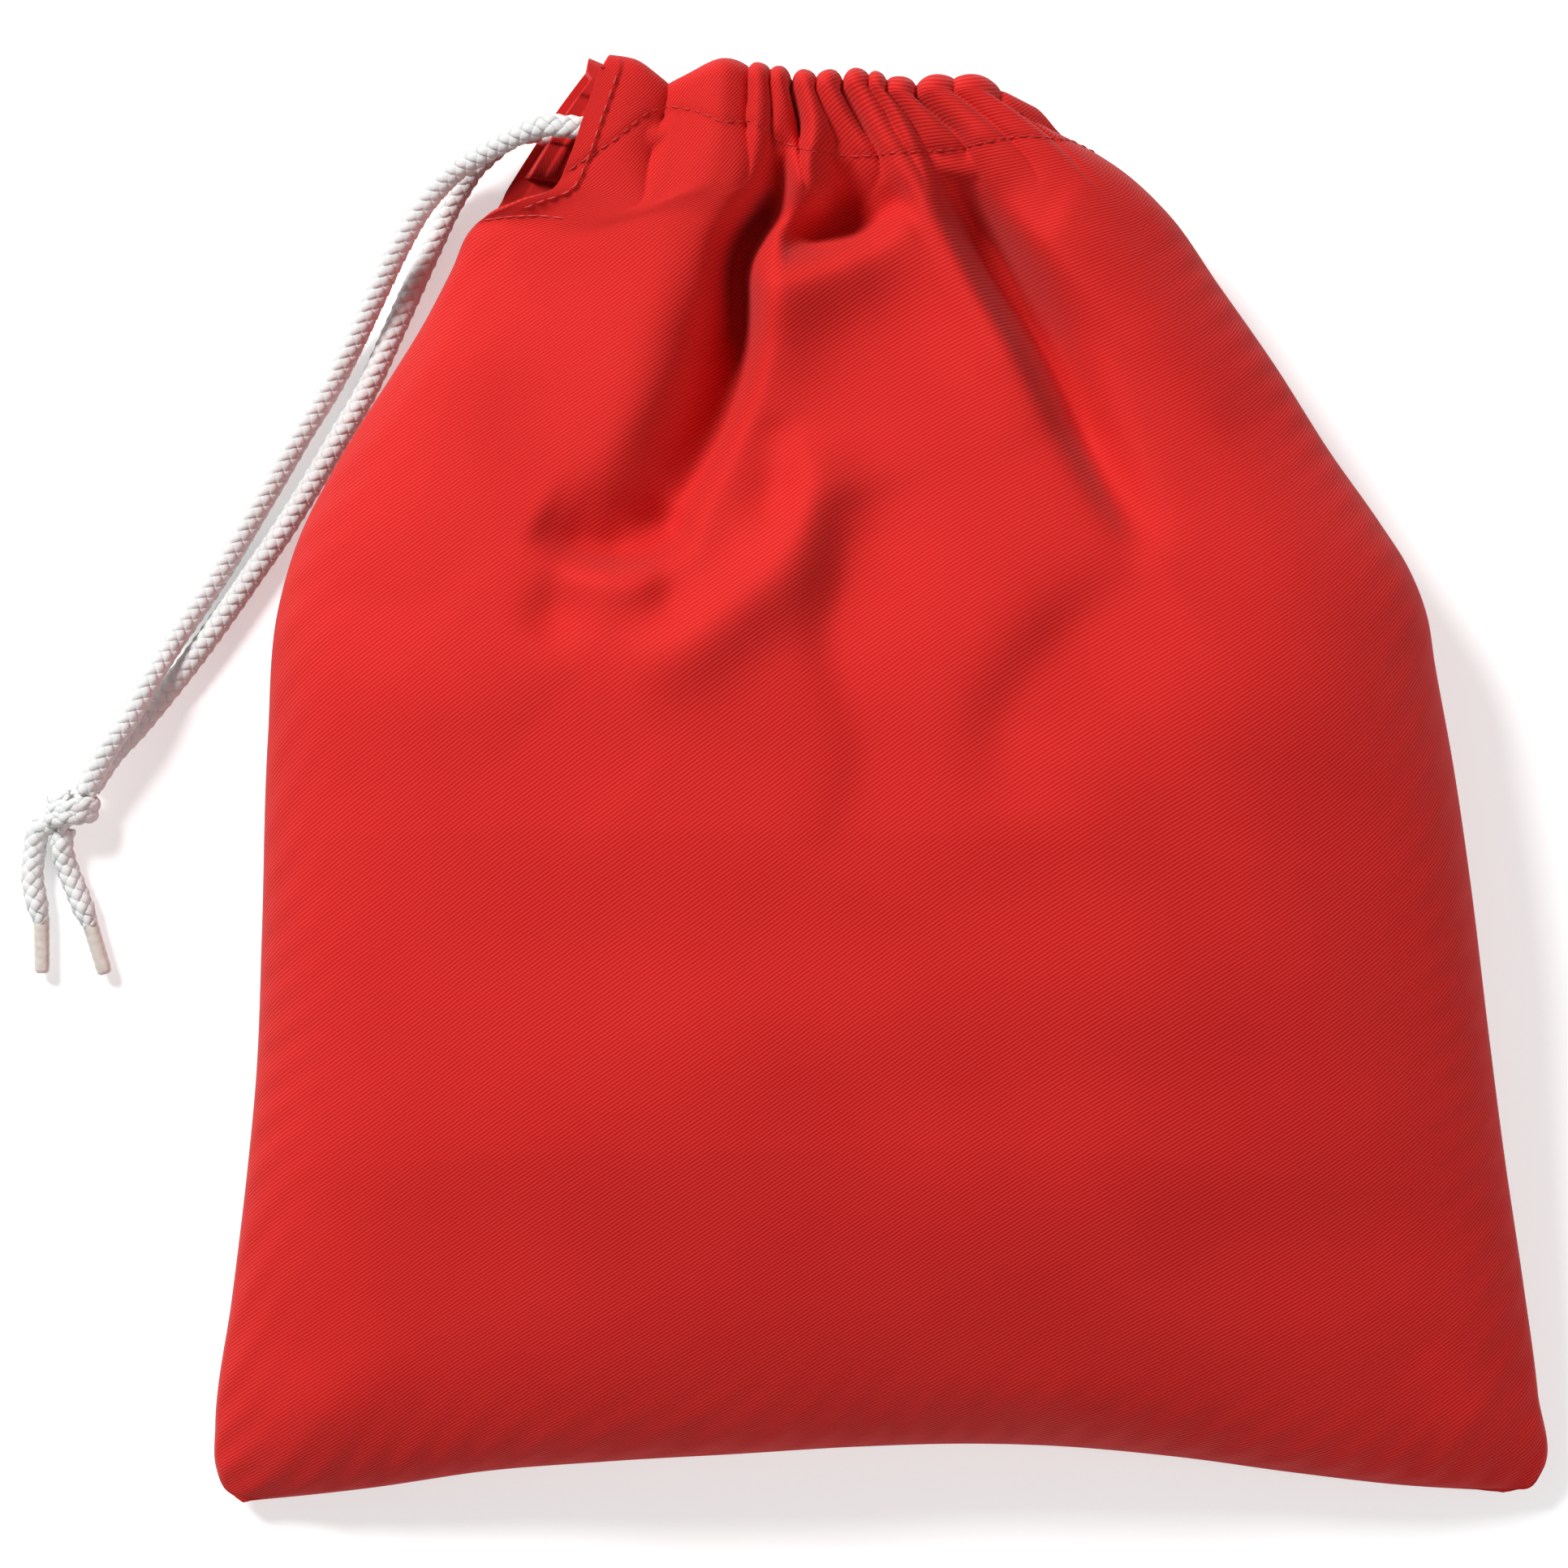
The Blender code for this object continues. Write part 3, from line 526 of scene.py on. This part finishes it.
def twill_material(name):
    """Twill: raised diagonal ribs over a fine thread, with painted shade in the grooves between the ribs,
    uneven dye and a little fuzz.
    """
    made, tree, shader = plain_material(name, 0.82, (0.62, 0.013, 0.010))
    shader.inputs["Specular IOR Level"].default_value = 0.18
    shader.inputs["Sheen Weight"].default_value = 0.08
    shader.inputs["Sheen Roughness"].default_value = 0.45
    uv = node(tree, "ShaderNodeUVMap", uv_map="Cloth").outputs["UV"]
    split = node(tree, "ShaderNodeSeparateXYZ")
    tree.links.new(uv, split.inputs[0])
    u, v = split.outputs["X"], split.outputs["Y"]
    across = math_node(
        tree,
        "ADD",
        math_node(tree, "MULTIPLY", u, -math.sin(RIB_ANGLE)),
        math_node(tree, "MULTIPLY", v, math.cos(RIB_ANGLE)),
    )
    down = math_node(
        tree,
        "ADD",
        math_node(tree, "MULTIPLY", u, math.cos(RIB_ANGLE)),
        math_node(tree, "MULTIPLY", v, math.sin(RIB_ANGLE)),
    )
    drift = math_node(tree, "MULTIPLY", noise(tree, uv, 90.0, 2.0), 0.00035)
    turns = math_node(tree, "MULTIPLY", math_node(tree, "ADD", across, drift), 2 * math.pi / RIB_PITCH)
    rib = math_node(tree, "ADD", math_node(tree, "MULTIPLY", math_node(tree, "SINE", turns), 0.5), 0.5)
    beads = math_node(tree, "SINE", math_node(tree, "MULTIPLY", down, 2 * math.pi / BEAD_PITCH))
    beads = math_node(tree, "ADD", math_node(tree, "MULTIPLY", beads, 0.5), 0.5)
    fuzz = noise(tree, uv, 2600.0, 3.0)
    raised = math_node(tree, "MULTIPLY", math_node(tree, "MULTIPLY", beads, rib), 0.28)
    height = math_node(tree, "ADD", rib, raised)
    height = math_node(tree, "ADD", height, math_node(tree, "MULTIPLY", fuzz, 0.30))
    # Painted shade and highlight: the rib profile darkens the colour in the grooves and makes it lighter and
    # pinker on the crests; fuzz and dye add tone that varies at random.
    tone = math_node(tree, "MULTIPLY", rib, 0.62)
    tone = math_node(tree, "ADD", tone, math_node(tree, "MULTIPLY", fuzz, 0.30))
    dye = noise(tree, uv, 38.0, 4.0)
    tone = math_node(tree, "ADD", tone, math_node(tree, "MULTIPLY", dye, 0.22))
    colour = ramp(
        tree,
        tone,
        ((0.18, (0.47, 0.0070, 0.0058)), (0.55, (0.62, 0.0135, 0.0110)), (0.95, (0.74, 0.0300, 0.0260))),
    )
    tree.links.new(colour, shader.inputs["Base Color"])
    rough = math_node(tree, "ADD", math_node(tree, "MULTIPLY", fuzz, 0.16), 0.72)
    tree.links.new(rough, shader.inputs["Roughness"])
    bump(tree, shader, height, 0.45, 0.00014)
    return made


def thread_material(name, dark, light):
    made, tree, shader = plain_material(name, 0.55, light)
    place = node(tree, "ShaderNodeTexCoord").outputs["Object"]
    twist = noise(tree, place, 5200.0, 2.0)
    tree.links.new(ramp(tree, twist, ((0.30, dark), (0.70, light))), shader.inputs["Base Color"])
    bump(tree, shader, twist, 0.4, 0.0001)
    return made


def cord_material():
    made, tree, shader = plain_material("braided_cord", 0.78, (0.78, 0.765, 0.755))
    shader.inputs["Sheen Weight"].default_value = 0.20
    shader.inputs["Sheen Roughness"].default_value = 0.5
    shader.inputs["Subsurface Weight"].default_value = 0.12
    shader.inputs["Subsurface Scale"].default_value = 0.002
    place = node(tree, "ShaderNodeTexCoord").outputs["Object"]
    yarn = noise(tree, place, 3800.0, 3.0)
    soil = noise(tree, place, 160.0, 3.0)
    tone = math_node(tree, "MULTIPLY", yarn, 0.55)
    tone = math_node(tree, "ADD", tone, math_node(tree, "MULTIPLY", soil, 0.45))
    colour = ramp(tree, tone, ((0.28, (0.70, 0.682, 0.67)), (0.62, (0.80, 0.785, 0.775))))
    tree.links.new(colour, shader.inputs["Base Color"])
    bump(tree, shader, yarn, 0.35, 0.00012)
    return made


def tip_material():
    made, tree, shader = plain_material("tip_film", 0.28, (0.64, 0.58, 0.53))
    shader.inputs["Coat Weight"].default_value = 0.35
    shader.inputs["Coat Roughness"].default_value = 0.15
    shader.inputs["Subsurface Weight"].default_value = 0.25
    shader.inputs["Subsurface Scale"].default_value = 0.002
    place = node(tree, "ShaderNodeTexCoord").outputs["Object"]
    cloud = noise(tree, place, 700.0, 3.0)
    colour = ramp(tree, cloud, ((0.30, (0.58, 0.52, 0.465)), (0.70, (0.68, 0.63, 0.585))))
    tree.links.new(colour, shader.inputs["Base Color"])
    rough = math_node(tree, "ADD", math_node(tree, "MULTIPLY", cloud, 0.25), 0.18)
    tree.links.new(rough, shader.inputs["Roughness"])
    bump(tree, shader, cloud, 0.25, 0.0002)
    return made


twill_front = twill_material("twill_front_cloth")
twill_back = twill_material("twill_back_cloth")
sewing = thread_material("sewing_thread", (0.50, 0.020, 0.018), (0.68, 0.066, 0.058))
casing_sewing = thread_material("casing_thread", (0.46, 0.011, 0.009), (0.60, 0.026, 0.023))
white = cord_material()
film = tip_material()


# Cords; their routes repeat the solids' own points
def frames_along(path):
    """Direction and two side directions at each point, turning as little as possible."""
    ahead = np.gradient(path, axis=0)
    ahead /= np.linalg.norm(ahead, axis=1)[:, None]
    side = np.cross(ahead[0], (0.0, 0.0, 1.0))
    side /= np.linalg.norm(side)
    sides = []
    for heading in ahead:
        side = side - heading * (side @ heading)
        side /= np.linalg.norm(side)
        sides.append(side)
    sides = np.array(sides)
    return ahead, sides, np.cross(ahead, sides)


def resample(route, step):
    """Evenly spaced points on the smooth line through a route."""
    route = np.asarray(route, float)
    places = np.arange(len(route))
    dense = spline(route, places, np.linspace(0, len(route) - 1, 40 * len(route)))
    run = along(dense)
    count = max(8, int(run[-1] / step))
    at = np.linspace(0.0, run[-1], count + 1)
    return np.stack([np.interp(at, run, dense[:, k]) for k in range(3)], 1)


def tube(points, faces, line, side, up, wide, tall, around):
    """Adds a closed oval tube along a line to lists of points and faces."""
    start = len(points)
    turn = 2 * math.pi * np.arange(around) / around
    for k in range(len(line)):
        ring = line[k] + np.outer(np.cos(turn) * wide[k], side[k])
        ring = ring + np.outer(np.sin(turn) * tall[k], up[k])
        points.extend(ring.tolist())
    for k in range(len(line) - 1):
        for m in range(around):
            a = start + k * around + m
            b = start + k * around + (m + 1) % around
            faces.append((a, b, b + around, a + around))
    faces.append(tuple(start + m for m in reversed(range(around))))
    faces.append(tuple(start + (len(line) - 1) * around + m for m in range(around)))


def braid(name, path, girth=None):
    """Eight-plait round cord along a path; girth scales its thickness."""
    _, sides, ups = frames_along(path)
    run = along(path)
    girth = np.ones(len(path)) if girth is None else girth
    points = []
    faces = []
    middle = CORD * STRAND_MIDDLE
    for turn_way in (1, -1):
        for k in range(STRANDS_EACH_WAY):
            angle = turn_way * 2 * math.pi * run / PLAIT + 2 * math.pi * k / STRANDS_EACH_WAY
            lift = CORD * STRAND_LIFT * np.cos(8 * math.pi * run / PLAIT) * turn_way
            out = np.cos(angle)[:, None] * sides + np.sin(angle)[:, None] * ups
            line = path + out * ((middle + lift) * girth)[:, None]
            heading = np.gradient(line, axis=0)
            heading /= np.linalg.norm(heading, axis=1)[:, None]
            flat = np.cross(heading, out)
            flat /= np.linalg.norm(flat, axis=1)[:, None]
            wide, tall = CORD * STRAND_WIDE * girth, CORD * STRAND_TALL * girth
            tube(points, faces, line, flat, out, wide, tall, 7)
    core = CORD * BRAID_CORE * girth
    tube(points, faces, path, sides, ups, core, core, 10)
    return add_object(name, points, faces, white)


SLIT_FRONT = np.array((-0.057629, 0.120735, FRONT_RUN_Z))
SLIT_BACK = np.array((-0.063606, 0.121258, BACK_RUN_Z))
CROSS = np.array((-0.074129, 0.115735, 0.0))
FRONT_CROSS = CROSS + (0.0, 0.0, FRONT_RUN_Z - 0.0065)
BACK_CROSS = CROSS + (0.0, 0.0, BACK_RUN_Z)
KNOT_TOP = np.array((-0.1463, 0.0003, 0.0))
front_route = [
    SLIT_FRONT + ALONG * 0.006,
    SLIT_FRONT,
    SLIT_FRONT - ALONG * 0.006 - (0.0, 0.0006, 0.0010),
    FRONT_CROSS,
    (-0.0789, 0.1128, 0.0183),
    (-0.0843, 0.1072, 0.0146),
    (-0.0889, 0.0998, 0.0106),
    (-0.0934, 0.0910, 0.0068),
    (-0.0978, 0.0820, 0.0042),
    (-0.1021, 0.0740, REST_Z),
    (-0.1073, 0.0656, REST_Z),
    (-0.1124, 0.0568, REST_Z),
    (-0.1169, 0.0492, REST_Z),
    (-0.1214, 0.0416, REST_Z),
    (-0.1262, 0.0342, 0.0030),
    (-0.1308, 0.0273, 0.0044),
    (-0.1350, 0.0203, 0.0067),
    (-0.1390, 0.0130, PILED_Z),
    (-0.1430, 0.0072, PILED_Z),
    (KNOT_TOP[0] - 0.0009, KNOT_TOP[1] - 0.0012, PILED_Z - 0.0014),
]
back_route = [
    SLIT_BACK + ALONG * 0.006,
    SLIT_BACK,
    SLIT_BACK - ALONG * 0.0045 - (0.0, 0.0010, 0.0),
    BACK_CROSS,
    (-0.0766, 0.1128, 0.0052),
    (-0.0799, 0.1074, 0.0034),
    (-0.0834, 0.1000, REST_Z),
    (-0.0869, 0.0922, REST_Z),
    (-0.0917, 0.0814, REST_Z),
    (-0.0956, 0.0730, REST_Z),
    (-0.1008, 0.0642, REST_Z),
    (-0.1060, 0.0554, REST_Z),
    (-0.1112, 0.0471, REST_Z),
    (-0.1164, 0.0396, REST_Z),
    (-0.1211, 0.0328, REST_Z),
    (-0.1266, 0.0252, REST_Z),
    (-0.1322, 0.0180, REST_Z),
    (-0.1378, 0.0112, REST_Z),
    (-0.1424, 0.0062, REST_Z),
    (KNOT_TOP[0], KNOT_TOP[1], REST_Z + 0.0006),
]
front_path = resample(front_route, TAIL_STEP)
back_path = resample(back_route, TAIL_STEP)
tail_front = braid("tail_front_cord", front_path)
tail_back = braid("tail_back_cord", back_path)

# Cord inside the casing, from the front run round to the back run
LOOP_START = 0.0055
turn_centre = MOUTH_MIDDLE + ALONG * TURN_S + (0.0, 0.0, SEAM_TOP_Z)
loop_route = [SLIT_FRONT + ALONG * (LOOP_START + 0.012 * k) for k in range(6)]
for k in range(7):
    angle = math.pi * (0.5 - k / 6)
    up = np.array((0, 0, HALF_RISE * math.sin(angle)))
    loop_route.append(turn_centre + ALONG * HALF_RISE * math.cos(angle) + up)
loop_route += [SLIT_BACK + ALONG * (LOOP_START + 0.013 * k) for k in range(5, -1, -1)]
cord_loop = braid("cord_in_casing", resample(loop_route, LOOP_STEP))

# Gathered end of the casing, which carries the cord from the front to the back
END_COVER = CORD / 2 + 0.0009
END_REACH = 0.014
END_GATHER = 0.0042
END_STEP = 0.0007
end_path = resample(loop_route, END_STEP)
end_path = end_path[(end_path - MOUTH_MIDDLE) @ ALONG > TURN_S - END_REACH]
_, end_sides, end_ups = frames_along(end_path)
end_turn = np.linspace(0.0, 2 * math.pi, 33)
end_swell = END_COVER * (1.0 - 0.05 * np.cos(along(end_path) * 2 * math.pi / END_GATHER) ** 2)
end_out = (
    np.cos(end_turn)[None, :, None] * end_sides[:, None]
    + np.sin(end_turn)[None, :, None] * end_ups[:, None]
)
end_grid = end_path[:, None] + end_out * end_swell[:, None, None]
casing_end = add_cloth("casing_end_cloth", end_grid, end_grid, twill_back, False)

# Knot: two turns round both tails
KNOT_HEADING = np.array((-0.62, -0.7846, 0.0))
KNOT_HEADING /= np.linalg.norm(KNOT_HEADING)
KNOT_SIDE = np.array((-KNOT_HEADING[1], KNOT_HEADING[0], 0.0))
KNOT_LENGTH = 0.0084
KNOT_GIRTH = 0.80
WRAP_POINTS = 90
WRAP_TURNS = 2.30
WRAP_REACH = 0.0034
KNOT_START = KNOT_TOP + KNOT_HEADING * 0.00135 + (0.0, 0.0, 0.0050)
TURN_AXIS = np.array((-0.20, -0.98, 0.0))
TURN_AXIS /= np.linalg.norm(TURN_AXIS)
TURN_SIDE = np.array((-TURN_AXIS[1], TURN_AXIS[0], 0.0))
knot_middle = KNOT_START + KNOT_HEADING * (KNOT_LENGTH / 2)
wrap = []
for k in range(WRAP_POINTS):
    t = k / (WRAP_POINTS - 1)
    turn = 2 * math.pi * (WRAP_TURNS * t + 0.30)
    run = 0.0033 * (2.0 * t - 1.0) * 0.62
    tail_in = 0.35 * float(smooth(0.92, 1.0, np.array(t)))
    head_in = 0.35 * float(smooth(0.08, 0.0, np.array(t)))
    reach = WRAP_REACH * (1.0 - tail_in - head_in)
    lean = TURN_SIDE * math.cos(turn) * reach + np.array((0.0, 0.0, 1.0)) * math.sin(turn) * reach * 0.80
    wrap.append(knot_middle + TURN_AXIS * (run - 0.0008 * math.cos(turn)) + lean)
wrap_path = resample(wrap, KNOT_STEP)
knot_wraps = braid("knot_turns", wrap_path, np.full(len(wrap_path), KNOT_GIRTH))
core_route = [KNOT_START + KNOT_HEADING * (KNOT_LENGTH * t - 0.0008) for t in (0.0, 0.35, 0.7, 1.15)]
core_path = resample(core_route, KNOT_STEP)
knot_core = braid("knot_core", core_path, np.full(len(core_path), KNOT_GIRTH))

# Ends below the knot
KNOT_END = KNOT_START + KNOT_HEADING * KNOT_LENGTH
END_SIDE = CORD / 2 + 0.00045
ends = []
for name, way, steps, lean in (
    ("left", -1.0, ((-0.0009, -0.0043), (-0.0013, -0.0084), (-0.0009, -0.0118), (0.0004, -0.0175)), 0.0001),
    ("right", 1.0, ((0.0008, -0.0036), (0.0024, -0.0076), (0.0038, -0.0111), (0.0053, -0.0147)), 0.0028),
):
    pivot = KNOT_END + KNOT_HEADING * (CORD / 2 + 0.0003) + KNOT_SIDE * way * END_SIDE
    pivot[2] = REST_Z + 0.0008
    route = [KNOT_END + KNOT_SIDE * way * 0.0012 + (0.0, 0.0, -0.0016), pivot]
    route += [np.array((pivot[0] + x, pivot[1] + y, REST_Z)) for x, y in steps]
    path = resample(route, TAIL_STEP)
    girth = 1.0 - 0.30 * smooth(0.80, 1.0, np.linspace(0, 1, len(path)))
    end = braid("end_" + name + "_cord", path, girth)
    heading = np.array((lean, -TIP_LENGTH, 0.0))
    heading /= np.linalg.norm(heading)
    rings = np.linspace(0.0, 1.0, 28)
    shape = np.interp(rings, (0.0, 0.03, 0.08, 0.90, 0.97, 1.0), (0.80, 0.98, 1.0, 0.96, 0.86, 0.55))
    shape = shape * (1.0 + 0.025 * np.sin(rings * 40.0))
    line = path[-1] + np.outer(rings * (TIP_LENGTH + TIP_OVERLAP) - TIP_OVERLAP, heading)
    _, side, up = frames_along(line)
    points, faces = [], []
    tube(points, faces, line, side, up, shape * TIP / 2, shape * TIP / 2 * 0.92, 20)
    tip = add_object("tip_" + name + "_film", points, faces, film)
    ends.append((name, end, tip))

# Cloth
front_grid, front_laid, up_q = cloth_grid(LEFT_EDGE, FRONT_MOUTH, True)
back_grid, back_laid, _ = cloth_grid(BACK_LEFT_EDGE, BACK_MOUTH, False)
front_cloth = add_cloth("front_cloth", front_grid, front_laid, twill_front, False)
back_cloth = add_cloth("back_cloth", back_grid, back_laid, twill_back, True)


def surface(grid, row, column):
    """Point and outward direction on a cloth grid at fractional places."""
    r0 = int(min(max(row, 0), grid.shape[0] - 2))
    c0 = int(min(max(column, 0), grid.shape[1] - 2))
    fr, fc = row - r0, column - c0
    a, b = grid[r0, c0], grid[r0, c0 + 1]
    c, d = grid[r0 + 1, c0], grid[r0 + 1, c0 + 1]
    point = (a * (1 - fc) + b * fc) * (1 - fr) + (c * (1 - fc) + d * fc) * fr
    normal = np.cross(b - a + d - c, c - a + d - b)
    return point, normal / np.linalg.norm(normal)


def stitches(name, grid, places, sign, gap=0.28, look=None):
    """Separate stitches along a line of grid places."""
    dense = []
    normals = []
    for row, column in places:
        point, normal = surface(grid, row, column)
        dense.append(point + normal * sign * THREAD * 0.25)
        normals.append(normal * sign)
    dense = np.array(dense)
    normals = np.array(normals)
    run = along(dense)
    count = int(run[-1] / STITCH)
    points, faces = [], []
    for k in range(count):
        jitter = rng.uniform(-0.06, 0.06)
        at = (k + jitter + np.linspace(gap / 2, 1 - gap / 2, 7)) * run[-1] / count
        line = np.stack([np.interp(at, run, dense[:, m]) for m in range(3)], 1)
        up = np.stack([np.interp(at, run, normals[:, m]) for m in range(3)], 1)
        swell = np.sin(np.linspace(0.12, math.pi - 0.12, 7))
        line = line + up * (swell * THREAD * 0.45 - THREAD * 0.35)[:, None]
        heading = np.gradient(line, axis=0)
        heading /= np.linalg.norm(heading, axis=1)[:, None]
        side = np.cross(heading, up)
        side /= np.linalg.norm(side, axis=1)[:, None]
        size = THREAD / 2 * (0.45 + 0.55 * swell)
        tube(points, faces, line, side, up, size, size * 0.8, 6)
    return add_object(name, points, faces, look or sewing)


def row_of(q):
    """Row of the cloth at a share of its height."""
    return float(np.interp(q, up_q, np.arange(len(up_q))))


def casing_places(grid):
    """Grid places of the stitch line under the casing."""
    sewn = plan(CASING_LINE)
    places = []
    for c in np.linspace(2.0, COLUMNS - 2.0, 760):
        left = int(c)
        body = grid[: BODY_ROWS + 1]
        column = body[:, left] * (left + 1 - c) + body[:, left + 1] * (c - left)
        above = column[:, 1] - np.interp(column[:, 0], sewn[:, 0], sewn[:, 1])
        below = np.nonzero(above <= 0)[0]
        if len(below) and below[-1] < BODY_ROWS:
            r = below[-1]
            places.append((r + above[r] / (above[r] - above[r + 1]), c))
    return places


line = casing_places(front_grid)
front_seam_line = stitches("front_casing_stitches", front_grid, line, 1.0, look=casing_sewing)
line = casing_places(back_grid)
back_seam_line = stitches("back_casing_stitches", back_grid, line, -1.0, look=casing_sewing)


def column_at(grid, row, reach):
    """Column that lies a given length in from the left edge."""
    run = along(grid[int(row)])
    return float(np.interp(reach, run, np.arange(len(run))))


FOOT_ROW = row_of(0.885)
slit_rows = np.linspace(FOOT_ROW, BODY_ROWS - 1, 90)
line = [(r, column_at(front_grid, r, HEM_WIDTH)) for r in slit_rows]
front_slit_line = stitches("front_slit_stitches", front_grid, line, 1.0)
line = [(r, column_at(back_grid, r, HEM_WIDTH)) for r in slit_rows]
back_slit_line = stitches("back_slit_stitches", back_grid, line, -1.0)
tack_row = row_of(0.868)
tack_reach = [0.0010 + 0.00036 * k for k in range(40)]
line = [(tack_row + 0.10 * k, column_at(front_grid, tack_row, reach)) for k, reach in enumerate(tack_reach)]
bar_tack = stitches("bar_tack_stitches", front_grid, line, 1.0, 0.05)

# Seam allowances and their stitching, inside the bag
middle_grid = (front_grid + back_grid) / 2
SEAM_START = 14  # first row of the side allowances
SEAM_ROW = int(row_of(0.82))  # and the row where they end
SEAM_IN = 5.0  # rows or columns from the edge to the seams' stitches
strip = middle_grid[SEAM_START:SEAM_ROW, 3:13]
left_fold = add_cloth("left_allowance_cloth", strip, strip, twill_back, False)
strip = middle_grid[SEAM_START:SEAM_ROW, -13:-3]
right_fold = add_cloth("right_allowance_cloth", strip, strip, twill_back, False)
strip = middle_grid[3:11, 26:-26]
bottom_fold = add_cloth("bottom_allowance_cloth", strip, strip, twill_back, False)
seam_rows = np.linspace(SEAM_START, SEAM_ROW - 1, 300)
line = [(r, SEAM_IN) for r in seam_rows]
left_line = stitches("left_seam_stitches", middle_grid, line, 1.0)
line = [(r, COLUMNS - SEAM_IN) for r in seam_rows]
right_line = stitches("right_seam_stitches", middle_grid, line, 1.0)
line = [(SEAM_IN, c) for c in np.linspace(28, COLUMNS - 28, 300)]
bottom_line = stitches("bottom_seam_stitches", middle_grid, line, 1.0)

# Bodies that the pieces ride on, and solids that they stand for.
sewn_lines = (front_seam_line, back_seam_line, front_slit_line, back_slit_line)
for piece in (front_cloth, back_cloth, *sewn_lines, bar_tack):
    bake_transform(piece)
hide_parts("front_panel", "front_casing", "front_slit_hem")
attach(casing_end, "mouth_end")
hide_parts("casing_gathered_end")
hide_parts("back_panel", "back_casing", "back_slit_hem")
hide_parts("front_casing_stitching")
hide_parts("back_casing_stitching")
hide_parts("front_slit_stitching")
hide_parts("back_slit_stitching")
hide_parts("slit_bar_tack")
for side, fold, sewn in (
    ("left", left_fold, left_line),
    ("right", right_fold, right_line),
    ("bottom", bottom_fold, bottom_line),
):
    for piece in (fold, sewn):
        if side == "bottom":
            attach(piece, "bag")
        else:
            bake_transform(piece)
    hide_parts(side + "_seam_allowance")
    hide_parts(side + "_seam_stitching")
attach(cord_loop, "drawcord")
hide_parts("drawcord_loop")
for piece, path, solid in ((tail_front, front_path, "tail_front"), (tail_back, back_path, "tail_back")):
    cut = int(np.argmin(np.linalg.norm(path[:, :2] - CROSS[:2], axis=1)))
    heading = path[cut + 3] - path[cut - 3]
    heading /= np.linalg.norm(heading)
    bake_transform(piece)
    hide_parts(solid)
for piece in (knot_wraps, knot_core):
    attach(piece, "tails")
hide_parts("knot")
for name, end, tip in ends:
    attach(end, name + "_end")
    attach(tip, name + "_end")
    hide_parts("end_" + name)
    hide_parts("tip_" + name)

# Floor, light and camera. Only camera, glossy and transmission rays find the floor's glow, so the object
# gets no diffuse light from it.
FLOOR_GLOW = 0.45
FLOOR_REACH = 3
SKY = 0.17
floor_look, _, floor_shader = plain_material("floor_white", 0.9, (0.88, 0.88, 0.88))
floor_shader.inputs["Emission Color"].default_value = (1.0, 1.0, 1.0, 1.0)
floor_tree = floor_look.node_tree
rays = node(floor_tree, "ShaderNodeLightPath").outputs
seen = math_node(floor_tree, "MAXIMUM", rays["Is Camera Ray"], rays["Is Glossy Ray"])
seen = math_node(floor_tree, "MAXIMUM", seen, rays["Is Transmission Ray"])
glow = math_node(floor_tree, "MULTIPLY", seen, FLOOR_GLOW)
floor_tree.links.new(glow, floor_shader.inputs["Emission Strength"])
floor_corners = [(x * FLOOR_REACH, y * FLOOR_REACH, 0) for x, y in ((-1, -1), (1, -1), (1, 1), (-1, 1))]
floor = add_object("floor", floor_corners, [(0, 1, 2, 3)], floor_look, False)
world = bpy.data.worlds.new("studio")
bpy.context.scene.world = world
world.use_nodes = True
sky = world.node_tree.nodes["Background"]
sky.inputs["Color"].default_value = (1.0, 1.0, 1.0, 1.0)
sky.inputs["Strength"].default_value = SKY


def area_light(name, place, target, size, power):
    data = bpy.data.lights.new(name, "AREA")
    data.shape = "DISK"
    data.size = size
    data.energy = power
    made = bpy.data.objects.new(name, data)
    made.location = place
    made.rotation_euler = (Vector(target) - Vector(place)).to_track_quat("-Z", "Y").to_euler()
    bpy.context.scene.collection.objects.link(made)


area_light("key", (-1.50, 1.56, 1.76), (0.0, 0.0, 0.02), 0.95, 84.0)
area_light("fill", (0.8, -0.5, 1.1), (0.0, 0.0, 0.0), 1.2, 6.0)

LENS = 200.0
SENSOR = 36.0
FRAME_SIDE = 1932.0  # side of the picture, in picture points
CAMERA_LIFT = 0.016  # height of the plane that has the picture's scale
lens_data = bpy.data.cameras.new("camera")
lens_data.lens = LENS
lens_data.sensor_width = SENSOR
camera = bpy.data.objects.new("camera", lens_data)
distance = FRAME_SIDE * POINT * LENS / SENSOR
camera.location = (
    (FRAME_SIDE / 2 - POINT_X) * POINT,
    (POINT_Y - FRAME_SIDE / 2) * POINT,
    distance + CAMERA_LIFT,
)
bpy.context.scene.collection.objects.link(camera)
bpy.context.scene.camera = camera
bpy.context.scene.view_settings.view_transform = "Standard"
